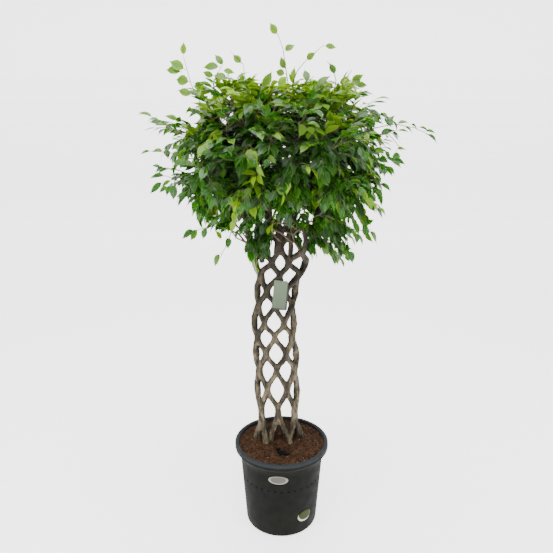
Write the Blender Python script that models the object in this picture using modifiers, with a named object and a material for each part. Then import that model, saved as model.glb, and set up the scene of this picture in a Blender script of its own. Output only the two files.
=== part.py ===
"""A potted weeping fig: a woven trunk of twelve grafted stems in a plastic pot.

Twelve stems, six winding each way, cross one another at evenly spaced rings
and make an open net. Above the net they pair into six limbs, and each limb
carries one leafy branch of the head. The plant stands in soil in a tapered
pot with a rolled rim. A printed card hangs on the net by a thin loop, and two
bare labels are stuck on the pot. Metres, +Z up, with the origin on the
surface that the pot stands on, on the pot's axis.
"""
import math
import random

import bmesh
import bpy
from mathutils import Matrix, Vector, noise
from mathutils.bvhtree import BVHTree

UP = Vector((0, 0, 1))
# The gap that touching pieces keep
FIT = 0.0003

# Pot
RIM_RADIUS = 0.170
RIM_HEIGHT = 0.316
LIP_WIDTH = 0.013
LIP_DROP = 0.020
LIP_ROUND = 0.0035
FLARE_DROP = 0.012
FLARE_OUT = 0.006
NECK_RADIUS = 0.150
NECK_DROP = 0.050
BASE_RADIUS = 0.130
BASE_ROUND = 0.012
POT_WALL = 0.003
POT_FLOOR = 0.004
POT_SIDES = 36
DRAIN_RADIUS = 0.006
DRAIN_CIRCLE = 0.085
DRAIN_COUNT = 4

# Soil
SOIL_TOP = 0.306
SOIL_RINGS = 4
SOIL_BUMP = 0.003
PIT_PLACE = Vector((0.012, -0.062))
PIT_RADIUS = 0.022
PIT_DEPTH = 0.009

# Trunk: the height of each ring of crossings at the front of the net
RING_HEIGHTS = (0.285, 0.434, 0.513, 0.591, 0.650, 0.715, 0.763, 0.832, 0.877, 0.938, 0.983,
                1.038, 1.090)
STEM_ROOT = 0.245
ROOT_SPLAY = 0.12
STEMS_EACH_WAY = 6
RING_TURN = math.radians(30)
NET_BACK = 0.030
# The rings tip down to the back, in planes that meet in one line in front of the plant
TILT_LINE_Y = -1.735
TILT_LINE_Z = 1.385
# Height, then the value there, read off as a smooth curve
NET_SHIFT = ((0.24, -0.010), (0.31, -0.010), (0.59, -0.0175), (0.78, -0.027), (0.89, -0.019),
             (0.95, -0.006), (1.09, -0.004))
NET_HALF_WIDTH = ((0.24, 0.080), (0.31, 0.079), (0.40, 0.070), (0.59, 0.072), (0.78, 0.069),
                  (0.88, 0.065), (0.92, 0.069), (0.96, 0.082), (1.04, 0.096), (1.09, 0.104))
NET_HALF_DEPTH = ((0.24, 0.036), (0.40, 0.030), (0.88, 0.029), (0.96, 0.036), (1.04, 0.052),
                  (1.09, 0.066))
STEM_RADIUS = ((0.24, 0.0105), (0.31, 0.0105), (0.40, 0.0090), (0.78, 0.0085), (0.94, 0.0095),
               (1.09, 0.0095))
# Where the net opens into the head: how far its front and back crossings draw together, in
# radians, and how much lower its sides hang
NET_GATHER = ((0.945, 0.0), (0.985, 0.22))
NET_SAG = ((0.98, 0.0), (1.04, 0.026))
# How far right-handed stems lie outside the net's middle, and left-handed ones inside it. At
# the roots it is the other way round.
WEAVE = ((0.24, -0.015), (0.434, 0.003))

# Head of leaves: its middle, and the leafy mass behind the leaves as radius and height
HEAD_MIDDLE = Vector((-0.012, 0.015, 1.280))
BRANCHES = 6
BRANCH_TURN = math.radians(60)
FIRST_BRANCH = math.radians(45)
CORE_PROFILE = ((0.020, 1.520), (0.110, 1.515), (0.190, 1.480), (0.255, 1.425), (0.298, 1.355),
                (0.308, 1.275), (0.290, 1.200), (0.252, 1.145), (0.205, 1.110))
FRONT_LIFT = 0.100
CORE_WALL = 0.014
CORE_LUMP = 0.020
CORE_ACROSS = 4
LIMB_START_DROP = 0.012
LIMB_START_RADIUS = 0.012
LIMB_END_RADIUS = 0.007
LIMB_SEAT = 0.006
LIMB_MEETS = 0.5
# How far along a limb each of its two bends is, and how far above the straight line
LIMB_BENDS = ((0.30, 0.030), (0.65, 0.025))

# Leaves
LEAF_LENGTH = 0.078
LEAF_WIDTH = 0.037
LEAF_THICKNESS = 0.0009
LEAF_DROOP = 0.22
# How far along the leaf, and its half width there as a share of the whole width
LEAF_STATIONS = ((0.0, 0.0), (0.33, 0.5), (0.68, 0.35), (1.0, 0.0))
LEAF_ROOT = 0.008
LEAVES_PER_BRANCH = 44
LEAF_TRIES = 5000
LEAF_SEED = 31
LEAF_CLEAR = 0.0015
SHOOT_RADIUS = 0.0022
SHOOT_SAG = 0.012

# Shoots that stand out of the head: where each leaves the leafy mass, where it ends, and its leaves
SHOOTS = (
    ((-0.030, -0.060, 1.510), (-0.026, -0.072, 1.668), 4),
    ((0.050, -0.080, 1.500), (0.140, -0.100, 1.630), 4),
    ((-0.170, -0.060, 1.470), (-0.300, -0.050, 1.625), 6),
    ((-0.110, -0.110, 1.490), (-0.180, -0.120, 1.620), 4),
    ((0.140, 0.020, 1.480), (0.225, 0.030, 1.570), 5),
    ((0.280, -0.020, 1.400), (0.455, -0.010, 1.390), 6),
    ((-0.290, -0.020, 1.340), (-0.410, 0.000, 1.345), 5),
    ((-0.280, -0.060, 1.220), (-0.385, -0.060, 1.180), 5),
    ((-0.230, -0.110, 1.170), (-0.290, -0.120, 1.070), 5),
    ((-0.200, 0.000, 1.130), (-0.210, 0.000, 1.010), 4),
    ((0.240, -0.050, 1.150), (0.290, -0.070, 1.080), 5),
    ((0.180, -0.010, 1.120), (0.215, -0.020, 1.020), 4),
    ((0.030, 0.250, 1.430), (0.050, 0.380, 1.400), 5),
    ((-0.110, 0.240, 1.190), (-0.150, 0.330, 1.120), 4),
    ((0.190, 0.210, 1.200), (0.250, 0.280, 1.130), 4),
)

# Hanging card and its loop
CARD_TOP_CENTRE = Vector((-0.0030, -0.0190, 0.9235))
CARD_WIDTH = 0.046
CARD_HEIGHT = 0.100
CARD_THICKNESS = 0.0008
CARD_LEAN = math.radians(5)
CARD_HOLE_RADIUS = 0.0024
CARD_HOLE_DROP = 0.0065
LOOP_RADIUS = 0.0006
LOOP_SPREAD = 0.0016
# The stem that the loop hangs on, the ring it crosses at, and how far up its straight run there
LOOP_STEM = 1
LOOP_RING = 9
LOOP_SHARE = 0.74

# Labels on the pot: middle height, middle angle from the front, half sizes, tilt
LABEL_THICKNESS = 0.0006
OVAL_LABEL = (0.2466, math.radians(-4.9), 0.035, 0.0165, 0.0)
GREEN_LABEL = (0.0755, math.radians(37.2), 0.029, 0.0233, math.radians(-5))

# Base colour, roughness
MATERIALS = {
    "pot": ((0.050, 0.055, 0.060), 0.55),
    "soil": ((0.085, 0.040, 0.024), 0.95),
    "bark": ((0.210, 0.165, 0.115), 0.85),
    "leaf": ((0.035, 0.115, 0.022), 0.40),
    "card": ((0.240, 0.290, 0.230), 0.60),
    "loop": ((0.020, 0.020, 0.020), 0.60),
    "oval": ((0.700, 0.700, 0.660), 0.50),
    "green": ((0.150, 0.360, 0.080), 0.50),
}


def material(name):
    """The plain material of one kind of piece."""
    colour, roughness = MATERIALS[name]
    made = bpy.data.materials.get(name) or bpy.data.materials.new(name)
    made.use_nodes = True
    shader = made.node_tree.nodes["Principled BSDF"]
    shader.inputs["Base Color"].default_value = (*colour, 1.0)
    shader.inputs["Roughness"].default_value = roughness
    shader.inputs["Metallic"].default_value = 0.0
    return made


def new_collection(name):
    made = bpy.data.collections.new(name)
    bpy.context.scene.collection.children.link(made)
    return made


def new_object(name, mesh, home, look=None):
    """An object that holds a mesh, linked to a collection."""
    made = bpy.data.objects.new(name, mesh)
    if look:
        mesh.materials.clear()
        mesh.materials.append(material(look))
    home.objects.link(made)
    return made


def remove(objects):
    for gone in list(objects):
        bpy.data.objects.remove(gone, do_unlink=True)


def baked(obj):
    """The mesh of an object with its modifiers, in world space."""
    bpy.context.view_layer.update()
    seen = obj.evaluated_get(bpy.context.evaluated_depsgraph_get())
    mesh = bpy.data.meshes.new_from_object(seen)
    mesh.transform(obj.matrix_world)
    return mesh


def apply_modifiers(obj):
    """Put an object's modified shape in its own mesh, with the object at the origin."""
    mesh = baked(obj)
    looks = list(obj.data.materials)
    obj.modifiers.clear()
    obj.data = mesh
    obj.matrix_world = Matrix.Identity(4)
    mesh.materials.clear()
    for look in looks:
        mesh.materials.append(look)


def weld(mesh):
    """Merge the points that lie together, and turn every face outwards."""
    shape = bmesh.new()
    shape.from_mesh(mesh)
    bmesh.ops.remove_doubles(shape, verts=shape.verts, dist=1e-6)
    bmesh.ops.recalc_face_normals(shape, faces=shape.faces)
    if shape.calc_volume(signed=True) < 0:
        bmesh.ops.reverse_faces(shape, faces=shape.faces)
    shape.to_mesh(mesh)
    shape.free()


def boolean(obj, operation, others):
    """Join to or cut from an object everything in a collection, which is then emptied."""
    step = obj.modifiers.new("boolean", "BOOLEAN")
    step.operation = operation
    step.operand_type = "COLLECTION"
    step.collection = others
    apply_modifiers(obj)
    remove(others.objects)


def read_off(table, place):
    """The value at a place along a table of (place, value) pairs, with smooth joins."""
    if place <= table[0][0]:
        return table[0][1]
    for (low, first), (high, second) in zip(table, table[1:]):
        if place <= high:
            t = (place - low) / (high - low)
            return first + (second - first) * t * t * (3 - 2 * t)
    return table[-1][1]


def poly_curve(name, places, home, closed=False):
    """A curve object of straight runs through places, and its spline."""
    curve = bpy.data.curves.new(name, "CURVE")
    curve.dimensions = "3D"
    spline = curve.splines.new("POLY")
    spline.points.add(len(places) - 1)
    spline.use_cyclic_u = closed
    for knot, place in zip(spline.points, places):
        knot.co = (*place, 1.0)
    guide = bpy.data.objects.new(name, curve)
    home.objects.link(guide)
    return guide, spline


def rod(name, points, radii, home, sides=5, twist=0.0):
    """A closed rod along points, as a mesh object, with one radius for each point."""
    turns = [math.tau * side / sides for side in range(sides)]
    outline = [(math.cos(turn), math.sin(turn), 0.0) for turn in turns]
    section, _ = poly_curve("section", outline, home, closed=True)
    guide, spline = poly_curve("guide", points, home)
    guide.data.bevel_mode = "OBJECT"
    guide.data.bevel_object = section
    guide.data.use_fill_caps = True
    for knot, radius in zip(spline.points, radii):
        knot.radius = radius
        knot.tilt = twist
    mesh = baked(guide)
    remove([guide, section])
    weld(mesh)
    return new_object(name, mesh, home)


def turned(name, profile, home, look, sides=POT_SIDES):
    """A body of revolution from (radius, height) points, given top to bottom on the outside."""
    mesh = bpy.data.meshes.new(name)
    count = len(profile)
    mesh.from_pydata([(r, 0, z) for r, z in profile], [(i, i + 1) for i in range(count - 1)], [])
    made = new_object(name, mesh, home, look)
    screw = made.modifiers.new("turn", "SCREW")
    screw.steps = sides
    screw.render_steps = sides
    screw.use_merge_vertices = True
    screw.merge_threshold = 0.0001
    screw.use_smooth_shade = True
    apply_modifiers(made)
    weld(made.data)
    return made


def pot_outer(height):
    """Outer radius of the pot's tapered wall."""
    top = RIM_HEIGHT - NECK_DROP
    return BASE_RADIUS + (NECK_RADIUS - BASE_RADIUS) * height / top


def pot_inner_profile(clear=0.0):
    """The inside of the pot from the floor up, pulled in by a clearance."""
    corner = BASE_ROUND + POT_FLOOR
    return [
        (BASE_RADIUS - BASE_ROUND - clear, POT_FLOOR + clear),
        (pot_outer(corner) - POT_WALL - clear, corner),
        (NECK_RADIUS - POT_WALL - clear, RIM_HEIGHT - NECK_DROP),
        (RIM_RADIUS - LIP_WIDTH - clear, RIM_HEIGHT - LIP_ROUND),
    ]


def build_pot(home, cutters):
    lip_foot = RIM_HEIGHT - LIP_DROP
    profile = [
        (0.0, POT_FLOOR),
        *pot_inner_profile(),
        (RIM_RADIUS - LIP_WIDTH + LIP_ROUND, RIM_HEIGHT),
        (RIM_RADIUS - LIP_ROUND, RIM_HEIGHT),
        (RIM_RADIUS, RIM_HEIGHT - LIP_ROUND),
        (RIM_RADIUS, lip_foot),
        (NECK_RADIUS + FLARE_OUT, lip_foot - FLARE_DROP),
        (NECK_RADIUS, RIM_HEIGHT - NECK_DROP),
        (pot_outer(BASE_ROUND), BASE_ROUND),
        (BASE_RADIUS - 0.3 * BASE_ROUND, 0.25 * BASE_ROUND),
        (BASE_RADIUS - BASE_ROUND, 0.0),
        (0.0, 0.0),
    ]
    pot = turned("pot", profile, home, "pot")
    for number in range(DRAIN_COUNT):
        angle = math.tau * (number + 0.5) / DRAIN_COUNT
        mesh = bpy.data.meshes.new("drain")
        shape = bmesh.new()
        bmesh.ops.create_cone(shape, cap_ends=True, segments=8, radius1=DRAIN_RADIUS,
                              radius2=DRAIN_RADIUS, depth=4 * POT_FLOOR)
        shape.to_mesh(mesh)
        shape.free()
        drain = new_object("drain", mesh, cutters)
        drain.location = (DRAIN_CIRCLE * math.cos(angle), DRAIN_CIRCLE * math.sin(angle), 0)
    boolean(pot, "DIFFERENCE", cutters)


def build_soil(home, cutters):
    inner = pot_inner_profile(FIT)
    (low_radius, low), (high_radius, high) = inner[2:]
    edge = low_radius + (high_radius - low_radius) * (SOIL_TOP - low) / (high - low)
    rings = [(edge * ring / SOIL_RINGS, SOIL_TOP) for ring in range(SOIL_RINGS + 1)]
    profile = [*rings, *inner[2::-1], (0.0, POT_FLOOR + FIT)]
    soil = turned("soil", profile, home, "soil")
    for corner in soil.data.vertices:
        place = corner.co
        if place.z < SOIL_TOP - 0.001:
            continue
        inside = 1.0 - (place.xy.length / edge) ** 4
        place.z += SOIL_BUMP * inside * noise.noise(place * 35.0) * 2.0
        near = (place.xy - PIT_PLACE).length / PIT_RADIUS
        place.z -= PIT_DEPTH * math.exp(-near * near)
    for hand in (1, -1):
        for number in range(STEMS_EACH_WAY):
            build_stem(hand, number, cutters, rings=1, grow=FIT)
    first = cutters.objects[0]
    joined = new_collection("joined")
    for other in list(cutters.objects)[1:]:
        cutters.objects.unlink(other)
        joined.objects.link(other)
    boolean(first, "UNION", joined)
    boolean(soil, "DIFFERENCE", cutters)
    bpy.data.collections.remove(joined)


def net_place(angle, front_height, outward):
    """A point on the oval net: its angle from the front, and its height in the front plane."""
    angle -= read_off(NET_GATHER, front_height) * math.sin(2 * angle)
    half_depth = read_off(NET_HALF_DEPTH, front_height)
    x = read_off(NET_SHIFT, front_height)
    x += (read_off(NET_HALF_WIDTH, front_height) + outward) * math.sin(angle)
    front = NET_BACK - half_depth
    y = NET_BACK - (half_depth + outward) * math.cos(angle)
    share = (y - TILT_LINE_Y) / (front - TILT_LINE_Y)
    front_height -= read_off(NET_SAG, front_height) * math.sin(angle) ** 2
    z = TILT_LINE_Z - (TILT_LINE_Z - front_height) * share
    return Vector((x, y, z))


def ring_height(ring):
    low = min(int(ring), len(RING_HEIGHTS) - 2)
    return RING_HEIGHTS[low] + (RING_HEIGHTS[low + 1] - RING_HEIGHTS[low]) * (ring - low)


def stem_place(hand, number, ring):
    """The centre of one stem where it reaches a ring, which may lie between two."""
    angle = RING_TURN * (2 * number + 1 + hand * ring)
    height = ring_height(ring)
    return net_place(angle, height, hand * read_off(WEAVE, height))


def build_stem(hand, number, home, rings=len(RING_HEIGHTS) - 1, grow=0.0):
    """One stem of the net, from its root in the soil, bending between the rings."""
    angle = RING_TURN * (2 * number + 1 - hand * ROOT_SPLAY)
    root = net_place(angle, STEM_ROOT, hand * read_off(WEAVE, STEM_ROOT))
    root.z -= grow
    points = [root]
    for ring in range(rings):
        points.append(stem_place(hand, number, ring + 0.5))
    points.append(stem_place(hand, number, rings))
    radii = [read_off(STEM_RADIUS, place.z) + grow for place in points]
    return rod("stem", points, radii, home, twist=math.radians(18) * (1 - hand))


def wedge_angle(branch):
    """The middle of a branch's share of the head, as an angle from the front."""
    return FIRST_BRANCH + branch * BRANCH_TURN


def across(angle):
    """The level direction at an angle from the front."""
    return Vector((math.sin(angle), -math.cos(angle), 0.0))


def limb_path(branch):
    """The centre line of one limb, from the net to its seat inside the leafy mass."""
    root = RING_TURN * (2 * branch + 1)
    start = net_place(root, RING_HEIGHTS[-1] - LIMB_START_DROP, 0.0)
    seat, out = core_point(branch, 0.5, LIMB_MEETS)
    end = seat - out * (CORE_WALL - LIMB_SEAT)
    bends = [start.lerp(end, share) + UP * rise for share, rise in LIMB_BENDS]
    return [start, *bends, end]


def build_limb(branch, home, grow=0.0):
    points = limb_path(branch)
    points[-1] += (points[-1] - points[-2]).normalized() * grow
    last = len(points) - 1
    radii = [LIMB_START_RADIUS + (LIMB_END_RADIUS - LIMB_START_RADIUS) * i / last + grow
             for i in range(len(points))]
    return rod("limb", points, radii, home)


def build_trunk(home, scrap):
    trunk = None
    for hand in (1, -1):
        for number in range(STEMS_EACH_WAY):
            stem = build_stem(hand, number, scrap)
            trunk = trunk or stem
    for branch in range(BRANCHES):
        build_limb(branch, scrap)
    scrap.objects.unlink(trunk)
    home.objects.link(trunk)
    trunk.name = "trunk"
    trunk.data.materials.append(material("bark"))
    boolean(trunk, "UNION", scrap)


def core_point(branch, side, down):
    """A point on the outside of a branch's leafy mass, and the way out of it there.

    side runs 0 to 1 across the branch's share of the head, down 0 to 1 from the top.
    """
    spot = down * (len(CORE_PROFILE) - 1)
    low = min(int(spot), len(CORE_PROFILE) - 2)
    part = spot - low
    radius = CORE_PROFILE[low][0] * (1 - part) + CORE_PROFILE[low + 1][0] * part
    height = CORE_PROFILE[low][1] * (1 - part) + CORE_PROFILE[low + 1][1] * part
    angle = wedge_angle(branch) + (side - 0.5) * BRANCH_TURN
    facing = max(0.0, math.cos(angle))
    height += FRONT_LIFT * facing * facing * max(0.0, down - 0.5) * 2.0
    place = across(angle) * radius + Vector((HEAD_MIDDLE.x, HEAD_MIDDLE.y, height))
    swell = noise.noise(place * 9.0) * CORE_LUMP * min(1.0, radius / 0.15)
    out = (place - HEAD_MIDDLE).normalized()
    return place + out * swell, out


def wedge_walls(branch):
    """The level directions that point into a branch's share from its two side planes."""
    middle = wedge_angle(branch)
    half = BRANCH_TURN / 2
    return across(middle + half - math.pi / 2), across(middle - half + math.pi / 2)


def room(branch, place):
    """How far a point lies inside the planes that bound a branch's share of the head."""
    from_middle = place - HEAD_MIDDLE
    return min(from_middle.dot(wall) for wall in wedge_walls(branch))


def build_core(branch, home):
    """The leafy mass behind a branch's leaves: a lumpy shell, open below."""
    mesh = bpy.data.meshes.new("core")
    shape = bmesh.new()
    bmesh.ops.create_grid(shape, x_segments=CORE_ACROSS, y_segments=len(CORE_PROFILE) - 1,
                          size=1.0)
    for corner in shape.verts:
        side = (corner.co.x + 1) / 2
        down = (1 - corner.co.y) / 2
        corner.co = core_point(branch, side, down)[0]
    outer = list(shape.verts)
    grown = bmesh.ops.extrude_face_region(shape, geom=list(shape.faces))
    inner = [item for item in grown["geom"] if isinstance(item, bmesh.types.BMVert)]
    for corner in inner:
        corner.co -= (corner.co - HEAD_MIDDLE).normalized() * CORE_WALL
    for corner in outer + inner:
        for wall in wedge_walls(branch):
            short = FIT * 0.7 - (corner.co - HEAD_MIDDLE).dot(wall)
            if short > 0:
                corner.co += wall * short
    bmesh.ops.recalc_face_normals(shape, faces=shape.faces)
    shape.to_mesh(mesh)
    shape.free()
    core = new_object("branch_%d" % (branch + 1), mesh, home, "leaf")
    bpy.context.view_layer.update()
    return core


def on_core(core, towards):
    """Where the line from the middle of the head towards a place leaves the leafy mass."""
    out = (towards - HEAD_MIDDLE).normalized()
    hit, place, _, _ = core.ray_cast(HEAD_MIDDLE + out, -out)
    return (place, out) if hit else (None, out)


def sunk_in(core, place):
    """True where the leafy mass lies outside a place, seen from the middle of the head."""
    return core.ray_cast(place, (place - HEAD_MIDDLE).normalized())[0]


def leaf_mesh():
    """One leaf: an ovate blade with a drawn-out tip that droops along its length."""
    mesh = bpy.data.meshes.new("leaf")
    shape = bmesh.new()
    bmesh.ops.create_grid(shape, x_segments=1, y_segments=3, size=1.0)
    for corner in shape.verts:
        along, half = LEAF_STATIONS[round((corner.co.y + 1) * 1.5)]
        rise = LEAF_DROOP * LEAF_LENGTH * (along - 1.6 * along * along)
        corner.co = (corner.co.x * half * LEAF_WIDTH, along * LEAF_LENGTH, rise)
    bmesh.ops.remove_doubles(shape, verts=shape.verts, dist=1e-6)
    bmesh.ops.recalc_face_normals(shape, faces=shape.faces)
    bmesh.ops.solidify(shape, geom=list(shape.faces), thickness=LEAF_THICKNESS)
    for end in (0.0, LEAF_LENGTH):
        pair = [corner for corner in shape.verts if abs(corner.co.y - end) < LEAF_THICKNESS]
        bmesh.ops.pointmerge(shape, verts=pair, merge_co=pair[0].co)
    shape.to_mesh(mesh)
    shape.free()
    weld(mesh)
    return mesh


class Leaves:
    """The leaves of one branch, each kept clear of the others and of the next branches."""

    def __init__(self, branch, mesh, core, home):
        self.branch = branch
        self.mesh = mesh
        self.core = core
        self.home = home
        self.taken = []
        self.faces = [tuple(face.vertices) for face in mesh.polygons]

    def grow(self, root, way, face):
        """Add a leaf at a root, pointing one way with its face to another. True if it fits."""
        way = way.normalized()
        side = way.cross(face).normalized()
        turn = Matrix((side, way, side.cross(way))).transposed().to_4x4()
        spot = Matrix.Translation(root) @ turn
        corners = [spot @ corner.co for corner in self.mesh.vertices]
        if min(room(self.branch, corner) for corner in corners) < LEAF_CLEAR:
            return False
        beyond = [c for c in corners if (c - root).length > LEAF_LENGTH * 0.3]
        if any(sunk_in(self.core, corner) for corner in beyond):
            return False
        shape = BVHTree.FromPolygons(corners, self.faces)
        if any(shape.overlap(other) for other in self.taken):
            return False
        self.taken.append(shape)
        new_object("leaf", self.mesh, self.home).matrix_world = spot
        return True


def build_shoot(start, end, count, leaves, draw):
    """A thin shoot that stands out of the head, with its leaves."""
    waist, _ = core_point(leaves.branch, 0.5, 0.4)
    for share in (0.0, 0.15, 0.3, 0.45):
        root, out = on_core(leaves.core, start.lerp(waist, share))
        if root:
            break
    start = root - out * CORE_WALL / 2
    sag = Vector((0, 0, SHOOT_SAG))
    path = [start, start.lerp(end, 0.5) + sag, end]
    rod("shoot", path, [SHOOT_RADIUS, SHOOT_RADIUS, SHOOT_RADIUS * 0.8], leaves.home, sides=4)
    along = (end - start).normalized()
    for number in range(count):
        t = 0.40 + 0.58 * number / (count - 1)
        spot = start.lerp(end, t) + sag * (1 - abs(2 * t - 1))
        for _ in range(30):
            turn = draw.uniform(0, math.tau)
            way = Matrix.Rotation(turn, 3, along) @ along.orthogonal().normalized()
            way = way * 0.8 + along * 0.6 + Vector((0, 0, -0.35))
            if leaves.grow(spot - way.normalized() * 0.001, way, UP + along * 0.3):
                break


def build_branch(branch, mesh, home, scrap, cutters):
    """One leafy branch: its mass, its shoots and its leaves, fused in one body."""
    draw = random.Random(branch + LEAF_SEED)
    core = build_core(branch, home)
    leaves = Leaves(branch, mesh, core, scrap)
    for start, end, count in SHOOTS:
        if room(branch, Vector(end)) > 0:
            build_shoot(Vector(start), Vector(end), count, leaves, draw)
    wanted = len(leaves.taken) + LEAVES_PER_BRANCH
    for _ in range(LEAF_TRIES):
        if len(leaves.taken) >= wanted:
            break
        aim, _ = core_point(branch, draw.uniform(0.03, 0.97), draw.random())
        root, out = on_core(core, aim)
        if root is None or room(branch, root) < LEAF_ROOT:
            continue
        reach = (root - HEAD_MIDDLE).xy.length
        if draw.random() * CORE_PROFILE[5][0] > reach:
            continue
        sideways = out.cross(UP).normalized()
        level = UP.cross(sideways)
        fall = draw.uniform(0.2, 0.9) * (1.0 - 0.6 * max(0.0, out.z))
        way = out * 0.85 + level * 0.35 - UP * fall + sideways * draw.uniform(-0.7, 0.7)
        face = out + UP * 0.8 + sideways * draw.uniform(-0.5, 0.5)
        leaves.grow(root - out * LEAF_ROOT, way, face)
    build_limb(branch, cutters, FIT)
    boolean(core, "DIFFERENCE", cutters)
    boolean(core, "UNION", scrap)


def card_frame():
    """The card's own axes: across, up and out of its face, leaning a little."""
    lean = Matrix.Rotation(CARD_LEAN, 3, "Y") @ Matrix.Rotation(math.radians(4), 3, "X")
    return lean @ Vector((1, 0, 0)), lean @ Vector((0, 0, 1)), lean @ Vector((0, -1, 0))


def card_hole():
    """The middle of the card's hole."""
    return CARD_TOP_CENTRE - card_frame()[1] * CARD_HOLE_DROP


def build_card(home, cutters):
    right, up, out = card_frame()
    mesh = bpy.data.meshes.new("hang_tag")
    shape = bmesh.new()
    bmesh.ops.create_cube(shape, size=1.0)
    shape.to_mesh(mesh)
    shape.free()
    card = new_object("hang_tag", mesh, home, "card")
    turn = Matrix((right, -out, up)).transposed().to_4x4()
    size = Matrix.Diagonal((CARD_WIDTH, CARD_THICKNESS, CARD_HEIGHT, 1.0))
    mesh.transform(Matrix.Translation(CARD_TOP_CENTRE - up * CARD_HEIGHT / 2) @ turn @ size)
    mesh = bpy.data.meshes.new("punch")
    shape = bmesh.new()
    bmesh.ops.create_cone(shape, cap_ends=True, segments=16, radius1=CARD_HOLE_RADIUS,
                          radius2=CARD_HOLE_RADIUS, depth=6 * CARD_THICKNESS)
    shape.to_mesh(mesh)
    shape.free()
    punch = new_object("punch", mesh, cutters)
    punch.matrix_world = (Matrix.Translation(card_hole()) @ turn
                          @ Matrix.Rotation(math.pi / 2, 4, "X"))
    boolean(card, "DIFFERENCE", cutters)


def build_loop(home):
    """The thin loop that hangs the card: round one stem and through the card's hole."""
    below, above = (stem_place(1, LOOP_STEM, LOOP_RING + half) for half in (-0.5, 0.5))
    stem = below.lerp(above, LOOP_SHARE)
    ahead = (above - below).normalized()
    low = card_hole() + card_frame()[1] * (CARD_HOLE_RADIUS - LOOP_RADIUS - FIT)
    down = (low - stem).normalized()
    normal = (ahead - down * ahead.dot(down)).normalized()
    wide = normal.cross(down)
    around = read_off(STEM_RADIUS, stem.z) + LOOP_RADIUS + 2 * FIT
    tall = around / max(0.3, abs(normal.dot(ahead)))
    points = []
    for number in range(9):
        angle = math.pi * (number / 8)
        points.append(stem + wide * around * math.cos(angle) - down * tall * math.sin(angle))
    _, up, out = card_frame()
    beside = out * LOOP_SPREAD * math.copysign(1.0, wide.dot(out))
    over_card = up * (CARD_HOLE_DROP + 0.001)
    points += [stem - wide * around + down * tall * 0.6, low - beside + over_card, low - beside,
               low + beside, low + beside + over_card, stem + wide * around + down * tall * 0.6]
    guide, _ = poly_curve("guide", points, home, closed=True)
    guide.data.bevel_depth = LOOP_RADIUS
    guide.data.bevel_resolution = 1
    mesh = baked(guide)
    remove([guide])
    weld(mesh)
    new_object("tag_loop", mesh, home, "loop")


def build_label(name, look, place, home):
    """An oval label that follows the pot's wall."""
    height, angle, half_wide, half_high, tilt = place
    mesh = bpy.data.meshes.new(name)
    shape = bmesh.new()
    bmesh.ops.create_circle(shape, cap_ends=True, cap_tris=True, segments=16, radius=1.0)
    spokes = [edge for edge in shape.edges if not edge.is_boundary]
    bmesh.ops.subdivide_edges(shape, edges=spokes, cuts=1)
    bmesh.ops.triangulate(shape, faces=shape.faces)
    slope = math.atan2(NECK_RADIUS - BASE_RADIUS, RIM_HEIGHT - NECK_DROP)
    flat = [corner.co.copy() for corner in shape.verts]
    base = list(shape.verts)
    grown = bmesh.ops.extrude_face_region(shape, geom=list(shape.faces))
    tops = [item for item in grown["geom"] if isinstance(item, bmesh.types.BMVert)]

    def seat(corner, where, lift):
        wide = where.x * half_wide
        high = where.y * half_high
        along = wide * math.cos(tilt) - high * math.sin(tilt)
        up = wide * math.sin(tilt) + high * math.cos(tilt)
        z = height + up * math.cos(slope)
        radius = pot_outer(z) + lift
        turn = angle + along / pot_outer(height)
        corner.co = (radius * math.sin(turn), -radius * math.cos(turn), z)

    raised = [corner.co.copy() for corner in tops]
    for corner, where in zip(base, flat):
        seat(corner, where, FIT)
    for corner, where in zip(tops, raised):
        seat(corner, where, FIT + LABEL_THICKNESS)
    shape.to_mesh(mesh)
    shape.free()
    weld(mesh)
    new_object(name, mesh, home, look)


def main():
    remove(bpy.data.objects)
    home = new_collection("potted_weeping_fig")
    scrap = new_collection("joined_repeats")
    cutters = new_collection("cutters")
    build_pot(home, cutters)
    build_soil(home, cutters)
    build_trunk(home, scrap)
    mesh = leaf_mesh()
    for branch in range(BRANCHES):
        build_branch(branch, mesh, home, scrap, cutters)
    build_card(home, cutters)
    build_loop(home)
    build_label("oval_label", "oval", OVAL_LABEL, home)
    build_label("green_label", "green", GREEN_LABEL, home)


main()
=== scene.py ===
"""The looks of a potted weeping fig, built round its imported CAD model.

Each piece of the plant is made by one operator, in the CAD's own frame: metres,
+Z up, -Y towards the camera, origin under the pot's middle. The sizes and
colours that a user might change are properties of the scene, listed with the
operators in the 3D view's sidebar.
"""
import math
import random

import bmesh
import bpy
from bpy.props import FloatProperty, FloatVectorProperty, IntProperty, PointerProperty
from mathutils import Matrix, Vector, noise


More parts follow.
